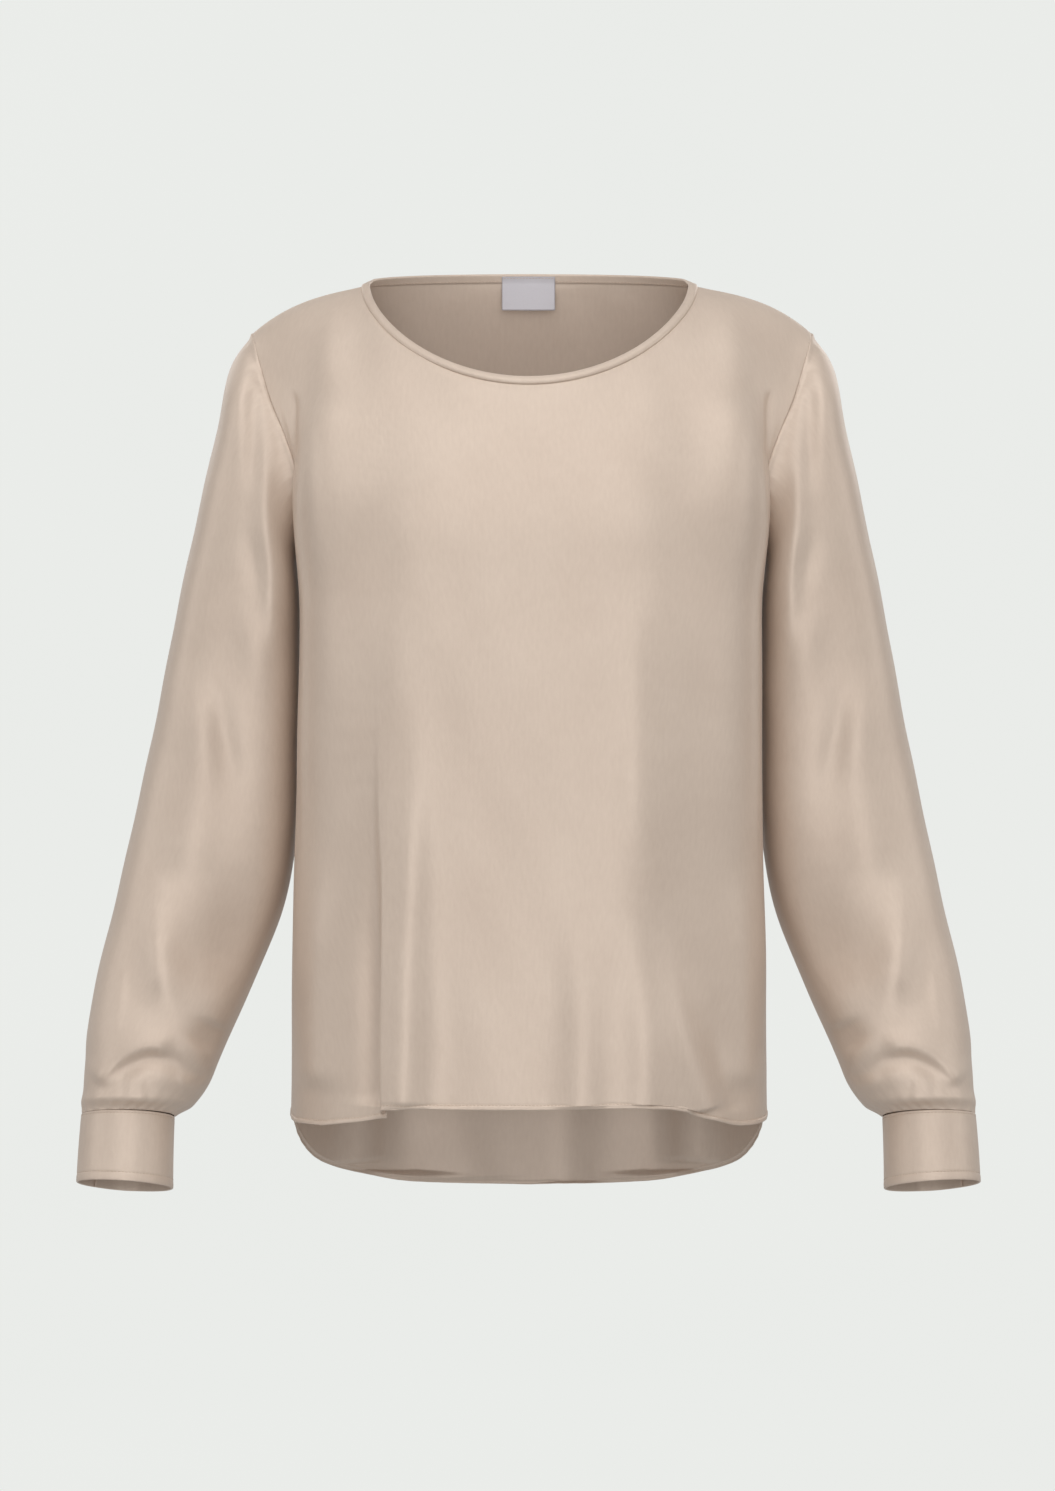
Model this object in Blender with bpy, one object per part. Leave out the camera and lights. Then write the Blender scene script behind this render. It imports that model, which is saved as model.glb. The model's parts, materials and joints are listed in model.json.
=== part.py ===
"""A long-sleeved satin blouse with a wide round neck and a curved high-low hem.

It keeps the hollow form that it has when it is worn, with no wearer inside. Every piece that is cut and sewn
is its own solid: front, back, two sleeves, two overlapping barrel cuffs, the neck binding, the neck label and
one button for each cuff.

Metres, +Z up. The front faces -Y, and the wearer's left is at +X. The origin lies midway between the two
points where the shoulder seams meet the neckline.
"""

import math

import bmesh
import bpy
import numpy as np

# ------------------------------------------------------------------ driving sizes
WALL = 0.0012  # the cloth, drawn as a wall
SEAM_GAP = 0.0003  # between two pieces that are sewn together

NECK_HALF = 0.1218  # half the neck width, from shoulder seam to shoulder seam
NECK_FRONT = (-0.0850, -0.0787)  # y and z of the neckline at the centre front
NECK_BACK = (0.0640, 0.0090)  # y and z of the neckline at the centre back
NECK_SIDE_Z = -0.0010
NECK_CURVE = 1.25  # how square the neckline's curve is, seen from the front
SHOULDER_HALF = 0.2018  # half the width from shoulder tip to shoulder tip
SHOULDER_SLOPE = 0.20  # fall for each metre out from the neck
SHOULDER_ROUND = 36.0  # the cubic part of that fall, which rounds the shoulder off
NECK_SHARE = 0.62  # the share of a panel's top edge that is neckline, and not shoulder seam

# The left shoulder and sleeve sit a little further out than the right ones, most of all at the top.
LEFT_WIDER = 0.0055
LEFT_WIDER_X = (0.095, 0.175)  # from nothing to all of it
LEFT_WIDER_Z = (-0.020, -0.520)  # from all of it to nothing
UNDERARM_Z = -0.190
ARMHOLE_MIDDLE = (0.172, 0.002, -0.112)  # inside the armhole: its seams are as thick as they are towards here
CORNER_EASE = 0.20  # how much of the top edge, as a share, the neck corner's rounding takes in on each side
CORNER_DROP = 0.55  # how far down, as a share of the panel above the underarm, the corner itself can be felt
ARMHOLE_REACH = (2.5, 3.5)  # how steeply its pull on the panel dies away, at the top and added lower down
HALF_GIRTH = 0.240  # nominal length from centre front, or centre back, to the side seam

BINDING_WIDTH = 0.0062
BINDING_THICK = 0.0024
LABEL_SIZE = (0.040, 0.025)
LABEL_THICK = 0.0010
LABEL_ON_BINDING = 0.0030  # how far the label runs up over the binding

CUFF_THICK = 0.0016
CUFF_LAP = math.radians(38)  # how far the cuff's ends overlap, round the wrist
CUFF_LAP_AT = math.radians(-82)  # where the end on top lies: behind, towards the outside
CUFF_STEP = math.radians(24)  # the turn within which the other end drops under it
BUTTON_RADIUS = 0.0053
BUTTON_THICK = 0.0022

# ------------------------------------------------------------------ tables
# Level sections through the body, from the underarm line down.
TORSO_COLUMNS = ("z", "half_width", "widest_y", "front_y", "back_y", "seam_y", "front_square", "back_square")
TORSO = (
    (-0.190, 0.1662, -0.030, -0.1200, 0.1120, 0.000, 0.08, 0.08),
    (-0.250, 0.1662, -0.030, -0.1270, 0.1110, 0.000, 0.08, 0.08),
    (-0.330, 0.1672, -0.026, -0.1240, 0.1060, 0.000, 0.08, 0.08),
    (-0.420, 0.1694, -0.018, -0.1200, 0.1040, 0.001, 0.06, 0.07),
    (-0.510, 0.1712, -0.009, -0.1200, 0.1060, 0.002, 0.05, 0.06),
    (-0.600, 0.1723, -0.002, -0.1220, 0.1090, 0.003, 0.04, 0.05),
    (-0.690, 0.1728, 0.000, -0.1240, 0.1110, 0.003, 0.04, 0.05),
)

# Height of the hem, from the centre of a panel (0) to its side seam (1).
HEM_COLUMNS = ("share", "front_z", "back_z")
HEM = (
    (0.00, -0.5925, -0.6680),
    (0.30, -0.5925, -0.6650),
    (0.50, -0.5990, -0.6585),
    (0.68, -0.6060, -0.6480),
    (0.84, -0.6065, -0.6310),
    (0.94, -0.6020, -0.6150),
    (1.00, -0.5990, -0.6020),
)

# The way the cloth leaves the top edge of a panel, from its centre (0) to the shoulder tip (1).
TOP_COLUMNS = ("share", "front_x", "front_y", "front_z", "back_x", "back_y", "back_z")
TOP = (
    (0.00, 0.00, -0.45, -0.89, 0.00, 0.35, -0.94),
    (0.30, 0.26, -0.50, -0.78, 0.20, 0.46, -0.80),
    (0.50, 0.46, -0.58, -0.48, 0.40, 0.60, -0.50),
    (0.62, 0.46, -0.66, -0.14, 0.42, 0.68, -0.14),
    (0.80, 0.12, -0.85, -0.06, 0.12, 0.85, -0.06),
    (1.00, 0.02, -1.25, -0.16, 0.02, 1.15, -0.16),
)

# The armhole of the left side, from the shoulder tip to the underarm, for the front and the back panel.
ARMHOLE_COLUMNS = ("front_x", "front_y", "front_z", "back_x", "back_y", "back_z")
ARMHOLE = (
    (0.1998, -0.0110, -0.0420, 0.2002, 0.0120, -0.0420),
    (0.1945, -0.0220, -0.0600, 0.1965, 0.0240, -0.0610),
    (0.1860, -0.0350, -0.0870, 0.1920, 0.0390, -0.0900),
    (0.1745, -0.0440, -0.1150, 0.1820, 0.0460, -0.1200),
    (0.1660, -0.0455, -0.1420, 0.1710, 0.0440, -0.1480),
    (0.1655, -0.0330, -0.1700, 0.1655, 0.0310, -0.1730),
)

# Sections across the left sleeve, from the cap to the cuff seam. Each runs from a point on the outer outline
# to a point on the inner one. pitch is how much higher its front lies than its middle, for each metre forward.
SLEEVE_COLUMNS = ("outer_x", "outer_z", "inner_x", "inner_z", "front_y", "back_y", "pitch", "square")
SLEEVE = (
    (0.2150, -0.0627, 0.1690, -0.2010, -0.0490, 0.0590, 0.00, 0.03),
    (0.2290, -0.1124, 0.1685, -0.2160, -0.0480, 0.0700, 0.00, 0.03),
    (0.2428, -0.1708, 0.1675, -0.2400, -0.0440, 0.0780, 0.00, 0.03),
    (0.2558, -0.2292, 0.1668, -0.2740, -0.0380, 0.0820, 0.00, 0.03),
    (0.2710, -0.3022, 0.1670, -0.3320, -0.0340, 0.0840, 0.00, 0.03),
    (0.2870, -0.3790, 0.1695, -0.4050, -0.0340, 0.0790, 0.02, 0.03),
    (0.3013, -0.4440, 0.1822, -0.4640, -0.0400, 0.0680, 0.05, 0.03),
    (0.3140, -0.5000, 0.2025, -0.5130, -0.0510, 0.0540, 0.10, 0.03),
    (0.3207, -0.5420, 0.2190, -0.5500, -0.0620, 0.0370, 0.15, 0.03),
    (0.3223, -0.5740, 0.2300, -0.5790, -0.0680, 0.0220, 0.19, 0.02),
    (0.3228, -0.5920, 0.2420, -0.5930, -0.0670, 0.0110, 0.21, 0.01),
)

# The cuff's seam with the sleeve and its lower edge, as rings.
CUFF_COLUMNS = ("centre_x", "centre_y", "centre_z", "half_width", "half_depth", "slope", "pitch")
CUFF = (
    (0.2895, -0.0310, -0.6035, 0.0337, 0.0330, 0.02, 0.21),
    (0.2908, -0.0425, -0.6530, 0.0348, 0.0335, 0.06, 0.21),
)

# Soft vertical folds. across is the share from the panel's centre to its side seam, + towards the wearer's
# left. A fold grows from nothing at start_z to its full height at full_z and runs on to the hem.
FOLD_COLUMNS = ("across_start", "across_hem", "start_z", "full_z", "height", "width", "steep")
FRONT_FOLDS = (
    (-0.375, -0.380, -0.230, -0.560, 0.0100, 0.034, 0.85),
    (0.270, 0.275, -0.260, -0.480, 0.0040, 0.034, 0.00),
    (0.360, 0.460, -0.450, -0.590, 0.0055, 0.030, -0.55),
    (0.700, 0.760, -0.380, -0.600, 0.0040, 0.040, 0.00),
    (-0.720, -0.740, -0.400, -0.600, 0.0040, 0.040, 0.00),
)
BACK_FOLDS = (
    (-0.500, -0.560, -0.260, -0.600, 0.0060, 0.040, 0.00),
    (0.470, 0.540, -0.240, -0.600, 0.0065, 0.042, 0.00),
    (0.000, 0.030, -0.330, -0.620, 0.0030, 0.050, 0.00),
)

# Folds of the sleeve above the cuff, as bumps on its surface: where round the sleeve (0 outside, 90 in front),
# how far above the cuff seam, how long the bump is round and along the sleeve, its slant and its height.
SLEEVE_FOLD_COLUMNS = ("round_deg", "above_cuff", "length_deg", "width", "slant", "height")
SLEEVE_FOLDS = (
    (80.0, 0.024, 60.0, 0.011, 0.0, 0.0040),
    (70.0, 0.050, 50.0, 0.010, 0.0, -0.0030),
    (-95.0, 0.022, 70.0, 0.012, 0.0, 0.0045),
    (-80.0, 0.048, 60.0, 0.010, 0.0, -0.0030),
)

# ------------------------------------------------------------------ mesh detail
FRONT_COLUMNS_HALF = 16
BACK_COLUMNS_HALF = 14
PANEL_YOKE_ROWS = 12  # the points of an armhole are also those of the sleeve
PANEL_BODY_ROWS = 14
SLEEVE_ROWS = 24
CUFF_SIDES = 30
CUFF_ROWS = 3
PROBE = 1e-4  # step for measuring slopes, in a panel's own coordinates


# ------------------------------------------------------------------ curves
def named(columns, rows):
    """A table as one array for each named column."""
    return dict(zip(columns, np.array(rows, float).T))


def smooth(share):
    """0 to 1 with level ends."""
    share = np.clip(share, 0.0, 1.0)
    return share * share * (3 - 2 * share)


def unit(vectors):
    return vectors / np.linalg.norm(vectors, axis=-1, keepdims=True)


def through(at, knots, values):
    """The smooth curve through the values at the knots, read at the places asked for."""
    slopes = np.gradient(values, knots, axis=0)
    index = np.clip(np.searchsorted(knots, at, side="right") - 1, 0, len(knots) - 2)
    span = knots[index + 1] - knots[index]
    share = (at - knots[index]) / span
    extra = (1,) * (values.ndim - 1)
    span, share = span.reshape(span.shape + extra), share.reshape(share.shape + extra)
    start, end = values[index], values[index + 1]
    return (
        (1 + 2 * share) * (1 - share) ** 2 * start
        + share * (1 - share) ** 2 * span * slopes[index]
        + share**2 * (3 - 2 * share) * end
        + share**2 * (share - 1) * span * slopes[index + 1]
    )


def hermite(share, start, start_way, end, end_way):
    """The cubic curve between two points that leaves and arrives in the ways given."""
    return (
        (1 + 2 * share) * (1 - share) ** 2 * start
        + share * (1 - share) ** 2 * start_way
        + share**2 * (3 - 2 * share) * end
        + share**2 * (share - 1) * end_way
    )


# ------------------------------------------------------------------ body panels
# side is -1 for the front panel and 1 for the back one. share runs from -1 to 1 across a panel, with its side
# seams or armholes at the ends. down runs from 0 at its top edge to 1 at the underarm line and 2 at the hem.
def top_edge(side, share):
    """Half the neckline, then the shoulder seam."""
    across = np.abs(share)
    turn = np.clip(across / NECK_SHARE, 0, 1) * math.pi / 2
    depth, height = NECK_FRONT if side < 0 else NECK_BACK
    level = np.maximum(np.cos(turn), 0.0)
    out = np.clip((across - NECK_SHARE) / (1 - NECK_SHARE), 0, 1) * (SHOULDER_HALF - NECK_HALF)
    x = NECK_HALF * np.sin(turn) + out
    y = depth * level
    z = NECK_SIDE_Z + (height - NECK_SIDE_Z) * level ** (NECK_CURVE if side < 0 else 1.0)
    z = z - SHOULDER_SLOPE * out - SHOULDER_ROUND * out**3
    return np.stack([np.where(share < 0, -x, x), y, z], axis=-1)


def body_point(side, share, height):
    """The body below the underarm line, which is a stack of level sections."""
    table = named(TORSO_COLUMNS, TORSO)
    knots = -table["z"]
    row = {name: through(-height, knots, table[name]) for name in TORSO_COLUMNS}
    behind = row["back_y"] - row["widest_y"]
    seam_turn = math.pi - np.arccos((row["seam_y"] - row["widest_y"]) / behind)
    across = np.abs(share)
    turn = across * seam_turn if side < 0 else math.pi - across * (math.pi - seam_turn)
    facing = np.cos(turn) > 0
    square = np.where(facing, row["front_square"], row["back_square"])
    depth = np.where(facing, row["widest_y"] - row["front_y"], behind)
    reach = (np.cos(turn) - square * np.cos(3 * turn)) / (1 - square)
    x = row["half_width"] * np.sin(turn)
    return np.stack([np.where(share < 0, -x, x), row["widest_y"] - depth * reach, height], axis=-1)


def armhole(side, down):
    """The left armhole, from the shoulder tip (0) to the underarm (1)."""
    table = named(ARMHOLE_COLUMNS, ARMHOLE)
    names = ARMHOLE_COLUMNS[:3] if side < 0 else ARMHOLE_COLUMNS[3:]
    middle = np.stack([table[name] for name in names], axis=-1)
    tip = top_edge(side, np.array(1.0))
    underarm = body_point(side, np.array(1.0), np.array(UNDERARM_Z))
    points = np.concatenate([tip[None], middle, underarm[None]])
    knots = np.concatenate([[0.0], np.cumsum(np.linalg.norm(np.diff(points, axis=0), axis=1))])
    return through(down, knots / knots[-1], points)


def eased_top(side, share):
    """The top edge with its corner at the shoulder seam rounded off, which the cloth below it follows."""
    reach = CORNER_EASE * smooth((1 - np.abs(share)) / 0.3)
    total = 0.0
    for step in range(-4, 5):
        total = total + (5 - abs(step)) / 25 * top_edge(side, share + reach * step / 4)
    return total


def yoke_point(side, share, down):
    """The panel above the underarm line."""
    table = named(TOP_COLUMNS, TOP)
    names = TOP_COLUMNS[1:4] if side < 0 else TOP_COLUMNS[4:]
    way = np.stack([through(np.abs(share), table["share"], table[name]) for name in names], axis=-1)
    way[..., 0] = np.where(share < 0, -way[..., 0], way[..., 0])
    level = np.full(np.shape(share), UNDERARM_Z)
    top, chest = eased_top(side, share), body_point(side, share, level)
    fall = body_point(side, share, level - PROBE) - body_point(side, share, level + PROBE)
    length = np.linalg.norm(chest - top, axis=-1, keepdims=True)
    corner = (top_edge(side, share) - top) * np.clip(1 - down / CORNER_DROP, 0, 1)[..., None] ** 3
    return corner + hermite(down[..., None], top, way * length, chest, unit(fall) * length)


def hem_height(side, share):
    table = named(HEM_COLUMNS, HEM)
    return through(np.abs(share), table["share"], table["front_z" if side < 0 else "back_z"])


def fold_height(side, share, height):
    """How far the folds stand out of the body."""
    table = named(FOLD_COLUMNS, FRONT_FOLDS if side < 0 else BACK_FOLDS)
    total = np.zeros(np.shape(share))
    for index in range(len(table["width"])):
        fold = {name: table[name][index] for name in FOLD_COLUMNS}
        run = np.clip((fold["start_z"] - height) / (fold["start_z"] - HEM[0][1]), 0, 1)
        middle = fold["across_start"] + (fold["across_hem"] - fold["across_start"]) * run
        away = (share - middle) * HALF_GIRTH
        narrow = np.where(away < 0, 1 - max(fold["steep"], 0), 1 + min(fold["steep"], 0))
        grown = smooth((fold["start_z"] - height) / (fold["start_z"] - fold["full_z"]))
        total += fold["height"] * grown * np.exp(-((away / (fold["width"] * narrow)) ** 2))
    return total * (1 - np.abs(share) ** 12)


def panel_point(side, share, down):
    """A point of a panel's outer face, before its folds."""
    share, down = np.broadcast_arrays(np.asarray(share, float), np.asarray(down, float))
    above = np.clip(down, 0, 1)
    edge = np.where(share < 0, -1.0, 1.0)
    seam = armhole(side, above)
    seam[..., 0] *= edge
    yoke = yoke_point(side, share, above)
    reach = np.maximum(np.abs(share), 1e-9) ** (ARMHOLE_REACH[0] + ARMHOLE_REACH[1] * above**4)
    yoke += (seam - yoke_point(side, edge, above)) * reach[..., None]
    height = UNDERARM_Z + (hem_height(side, share) - UNDERARM_Z) * np.clip(down - 1, 0, None)
    return np.where((down < 1)[..., None], yoke, body_point(side, share, height))


def grid_normals(points, outward):
    """Normals of a grid of points, turned to the side that outward points to."""
    down, across = np.gradient(points, axis=0), np.gradient(points, axis=1)
    normals = unit(np.cross(down, across))
    return np.where(np.sum(normals * outward, axis=-1, keepdims=True) < 0, -normals, normals)


def spaced(count, at, extra, spread):
    """Shares from -1 to 1, closer together near one of them."""
    fine = np.linspace(-1, 1, 2001)
    weight = 1 + extra * np.exp(-(((fine - at) / spread) ** 2))
    summed = np.concatenate([[0], np.cumsum((weight[1:] + weight[:-1]) / 2)])
    return np.interp(np.linspace(0, 1, count), summed / summed[-1], fine)


def seam_normals(own, points, down):
    """Wall directions along an armhole: towards its middle where two pieces meet at a ridge, so that their
    ends lie side by side, and the piece's own at the underarm."""
    middle = np.array(ARMHOLE_MIDDLE)
    middle = np.where(points[..., :1] < 0, middle * (-1, 1, 1), middle)
    share = smooth((down - 0.45) / 0.25)[..., None]
    return unit(unit(points - middle) * (1 - share) + own * share)


def side_normals(height):
    """The way out of the cloth at the left side seam."""
    ahead = body_point(-1, np.array(1.0), height) - body_point(-1, np.array(0.995), height)
    return unit(np.stack([ahead[..., 1], -ahead[..., 0], 0 * height], axis=-1))


def panel_shares(side):
    """The columns of a panel's grid, closer together at the front's sharpest fold."""
    if side < 0:
        shares = spaced(2 * FRONT_COLUMNS_HALF + 1, FRONT_FOLDS[0][1], 3.0, 0.06)
    else:
        shares = np.linspace(-1, 1, 2 * BACK_COLUMNS_HALF + 1)
    corners = np.array([-NECK_SHARE, 0.0, NECK_SHARE])
    shares[np.argmin(np.abs(shares[:, None] - corners), axis=0)] = corners
    return shares


def neck_frames(side, share):
    """Along a panel's neckline: the edge, the way on past it and the way out of the cloth."""
    inside = np.clip(share, -NECK_SHARE + 2 * PROBE, NECK_SHARE - 2 * PROBE)
    along = unit(panel_point(side, inside + PROBE, 0.0) - panel_point(side, inside - PROBE, 0.0))
    corner = smooth((np.abs(share) / NECK_SHARE - 0.80) / 0.20)[..., None]
    edge_way = np.stack([np.sign(share), 0 * share, -0.38 + 0 * share], axis=-1)
    past = unit(panel_point(side, inside, 0.0) - panel_point(side, inside, PROBE))
    past = unit(past * (1 - corner) - unit(edge_way) * corner)
    past = unit(past - np.sum(past * along, axis=-1, keepdims=True) * along)
    out = np.cross(along, past)
    return panel_point(side, share, 0.0), past, np.where(out[..., 2:] < 0, -out, out)


def panel_wall(side):
    """The outer and the inner face of a panel, as two grids."""
    shares = panel_shares(side)
    downs = np.concatenate([
        np.linspace(0, 1, PANEL_YOKE_ROWS + 1)[:-1], np.linspace(1, 2, PANEL_BODY_ROWS + 1)
    ])
    down, share = np.meshgrid(downs, shares, indexing="ij")
    points = panel_point(side, share, down)
    outward = points - np.array([0.0, 0.0, -0.12])
    outward[down > 1] *= (1, 1, 0)
    normals = grid_normals(points, outward)
    points += normals * fold_height(side, share, points[..., 2])[..., None]
    normals = grid_normals(points, outward)
    neck, seam = np.abs(shares) <= NECK_SHARE, np.abs(shares) >= NECK_SHARE
    normals[0, neck] = neck_frames(side, shares[neck])[2]
    points[0, seam, 1] += side * SEAM_GAP / 2
    out = np.abs(points[0, seam, 0]) - NECK_HALF
    slope = SHOULDER_SLOPE + 3 * SHOULDER_ROUND * out**2
    normals[0, seam] = unit(np.stack([slope * np.sign(shares[seam]), 0 * slope, 1 + 0 * slope], axis=-1))
    for column, way in ((0, -1), (-1, 1)):
        hole, sewn = downs <= 1, downs >= 1
        normals[sewn, column] = side_normals(points[sewn, column, 2]) * (way, 1, 1)
        points[sewn, column, 1] += side * SEAM_GAP / 2
        normals[hole, column] = seam_normals(normals[hole, column], points[hole, column], downs[hole])
    return points, points - WALL * normals


# ------------------------------------------------------------------ sleeves and cuffs, left side
def ring_shape(turn, square):
    """A rounded section: how far out it is (1 at 0 degrees) and how far forward (1 at 90 degrees)."""
    out = (np.cos(turn) - square * np.cos(3 * turn)) / (1 - square)
    front = (np.sin(turn) + square * np.sin(3 * turn)) / (1 - square)
    return out, front


def cuff_ring(turn, drop):
    """The cuff's outer face, from its seam with the sleeve (0) to its lower edge (1)."""
    table = named(CUFF_COLUMNS, CUFF)
    row = {name: table[name][0] + (table[name][1] - table[name][0]) * drop for name in CUFF_COLUMNS}
    out, front = np.cos(turn), np.sin(turn)
    x = row["half_width"] * out
    y = -row["half_depth"] * front
    z = row["centre_z"] + row["slope"] * x - row["pitch"] * y
    return np.stack([row["centre_x"] + x, row["centre_y"] + y, z], axis=-1)


def cuff_outward(turn):
    table = named(CUFF_COLUMNS, CUFF)
    x, y = np.cos(turn) / table["half_width"][0], -np.sin(turn) / table["half_depth"][0]
    return unit(np.stack([x, y, 0 * x], axis=-1))


def sleeve_rings(turn):
    """The sections of a sleeve as rings of points: the armhole, the rows of the table and the cuff seam."""
    table = named(SLEEVE_COLUMNS, SLEEVE)
    row = {name: table[name][:, None] for name in SLEEVE_COLUMNS}
    out, front = ring_shape(turn[None], row["square"])
    middle_y = (row["front_y"] + row["back_y"]) / 2
    x = (row["outer_x"] + row["inner_x"]) / 2 + (row["outer_x"] - row["inner_x"]) / 2 * out
    z = (row["outer_z"] + row["inner_z"]) / 2 + (row["outer_z"] - row["inner_z"]) / 2 * out
    y = -(row["back_y"] - row["front_y"]) / 2 * front
    rings = np.stack([x, middle_y + y, z - row["pitch"] * y], axis=-1)
    share = turn / math.pi
    cap = np.where((share <= 1)[:, None], armhole(-1, np.clip(share, 0, 1)), armhole(1, np.clip(2 - share, 0, 1)))
    under = smooth((1 - np.abs(share - 1) - 0.45) / 0.25)[:, None]
    leave = unit(unit(rings[0] - cap) * (1 - under) + np.array([1.0, 0.0, 0.0]) * under)
    end = cuff_ring(turn, 0.0) + np.array([0.0, 0.0, SEAM_GAP])
    return np.concatenate([(cap + leave * SEAM_GAP * (1.2 + under))[None], rings, end[None]])


def sleeve_fold_height(turn, above):
    """How far the folds over the cuff stand out of the sleeve."""
    table = named(SLEEVE_FOLD_COLUMNS, SLEEVE_FOLDS)
    total = np.zeros(np.broadcast(turn, above).shape)
    for index in range(len(table["width"])):
        fold = {name: table[name][index] for name in SLEEVE_FOLD_COLUMNS}
        round_by = (np.degrees(turn) - fold["round_deg"] + 180) % 360 - 180
        up_by = above - fold["above_cuff"] - fold["slant"] * round_by
        total += fold["height"] * np.exp(-((round_by / fold["length_deg"]) ** 2) - (up_by / fold["width"]) ** 2)
    return total


def sleeve_wall():
    """The outer and the inner face of the left sleeve, as two grids that close round it."""
    turn = np.arange(2 * PANEL_YOKE_ROWS) / PANEL_YOKE_ROWS * math.pi
    rings = sleeve_rings(turn)
    at = np.linspace(0, len(rings) - 1, SLEEVE_ROWS + 1)
    points = through(at, np.arange(len(rings), dtype=float), rings)
    middle = points.mean(axis=1, keepdims=True)
    normals = tube_normals(points, middle)
    above = np.linalg.norm(middle - middle[-1], axis=-1)
    height = sleeve_fold_height(turn[None], above) * smooth(above / 0.012)
    points = points + normals * height[..., None]
    normals = tube_normals(points, middle)
    share = np.minimum(turn, 2 * math.pi - turn) / math.pi
    normals[0] = seam_normals(normals[0], points[0], share)
    normals[-1] = cuff_outward(turn)
    return points, points - WALL * normals


def tube_normals(points, middle):
    """Normals of a grid that closes round a middle line."""
    down = np.gradient(points, axis=0)
    round_it = np.roll(points, -1, axis=1) - np.roll(points, 1, axis=1)
    normals = unit(np.cross(down, round_it))
    return np.where(np.sum(normals * (points - middle), axis=-1, keepdims=True) < 0, -normals, normals)


def cuff_wall():
    """The two faces of the left cuff. Its strip runs once round the wrist and then on under its own start."""
    turn = CUFF_LAP_AT + np.linspace(0, 2 * math.pi + CUFF_LAP, CUFF_SIDES + 1)
    drop = np.linspace(0, 1, CUFF_ROWS + 1)[:, None]
    under = smooth((turn - CUFF_LAP_AT - 2 * math.pi + CUFF_STEP) / CUFF_STEP)
    outward = cuff_outward(turn)
    points = cuff_ring(np.broadcast_to(turn, (CUFF_ROWS + 1, CUFF_SIDES + 1)), drop)
    points = points - outward * ((CUFF_THICK + SEAM_GAP) * under)[:, None]
    return points, points - CUFF_THICK * outward


# ------------------------------------------------------------------ neck
def binding_rings():
    """Sections of the binding all round the neck, at the columns of the panels that it edges."""
    frames = []
    for side in (-1, 1):
        shares = panel_shares(side)
        frames.append(neck_frames(side, shares[np.abs(shares) <= NECK_SHARE]))
    edge, past, out = (np.concatenate([front, back[::-1][1:-1]]) for front, back in zip(*frames))
    edge = edge + past * SEAM_GAP
    outer, inner = (BINDING_THICK - WALL) / 2, -(BINDING_THICK + WALL) / 2
    bevel = BINDING_THICK / 3
    corners = (
        (0.0, inner), (0.0, outer), (BINDING_WIDTH - bevel, outer), (BINDING_WIDTH, outer - bevel),
        (BINDING_WIDTH, inner + bevel), (BINDING_WIDTH - bevel, inner),
    )
    return np.stack([edge + past * up + out * away for up, away in corners], axis=1)


def label_wall():
    """The two faces of the label. Its top lies on the binding and the rest hangs down inside the back."""
    width, length = LABEL_SIZE
    share = np.linspace(-1, 1, 7) * width / 2 / NECK_HALF * NECK_SHARE * 2 / math.pi
    edge, past, out = neck_frames(1, share)
    up = LABEL_ON_BINDING - np.linspace(0, length, 6)[:, None, None]
    face = edge - out * ((BINDING_THICK + WALL) / 2 + SEAM_GAP * 1.3)
    face = face + past * np.maximum(up, 0.0)
    fall = np.array([0.0, 0.10, -1.0])
    face = face + fall * np.maximum(-up, 0.0)
    return face, face - out * LABEL_THICK


# ------------------------------------------------------------------ solids
def clear_scene():
    for thing in list(bpy.data.objects):
        bpy.data.objects.remove(thing, do_unlink=True)


def strips(index, closed):
    """Triangles of a grid of vertex numbers, which may close round its second axis."""
    faces = []
    rows, columns = index.shape
    for row in range(rows - 1):
        for column in range(columns if closed else columns - 1):
            after = (column + 1) % columns
            a, b = index[row, column], index[row, after]
            c, d = index[row + 1, after], index[row + 1, column]
            turned = not closed and column < (columns - 1) // 2
            faces += [(a, b, d), (b, c, d)] if turned else [(a, b, c), (a, c, d)]
    return faces


def wall_solid(outer, inner, closed):
    """Points and triangles of the closed wall between two grids."""
    rows, columns = outer.shape[:2]
    points = np.concatenate([outer.reshape(-1, 3), inner.reshape(-1, 3)])
    first = np.arange(rows * columns).reshape(rows, columns)
    second = first + rows * columns
    faces = strips(first, closed) + [face[::-1] for face in strips(second, closed)]
    for row, turned in ((0, True), (-1, False)):
        rim = strips(np.stack([first[row], second[row]]), closed)
        faces += [face[::-1] for face in rim] if turned else rim
    if not closed:
        for column, turned in ((0, False), (-1, True)):
            rim = strips(np.stack([first[:, column], second[:, column]]), False)
            faces += [face[::-1] for face in rim] if turned else rim
    return points, faces


def ring_solid(rings):
    """Points and triangles of a section swept round a closed loop."""
    steps, corners = rings.shape[:2]
    index = np.arange(steps * corners).reshape(steps, corners)
    return rings.reshape(-1, 3), strips(np.concatenate([index, index[:1]]), True)


def button_solid(place, out, up):
    """A disc with a bevelled edge, lying on the cuff."""
    rings = ((0.0, 0.86), (0.25, 1.0), (0.75, 1.0), (1.0, 0.82))
    sides = 20
    side_way = np.cross(up, out)
    turn = np.arange(sides) / sides * 2 * math.pi
    points = [
        place + out * BUTTON_THICK * rise
        + BUTTON_RADIUS * wide * (np.cos(turn)[:, None] * side_way + np.sin(turn)[:, None] * up)
        for rise, wide in rings
    ]
    index = np.arange(len(rings) * sides).reshape(len(rings), sides)
    points = np.concatenate(points + [[place], [place + out * BUTTON_THICK]])
    faces = strips(index, True)
    bottom, top = len(points) - 2, len(points) - 1
    for step in range(sides):
        after = (step + 1) % sides
        faces += [(bottom, index[0, after], index[0, step]), (top, index[-1, step], index[-1, after])]
    return points, faces


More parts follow.
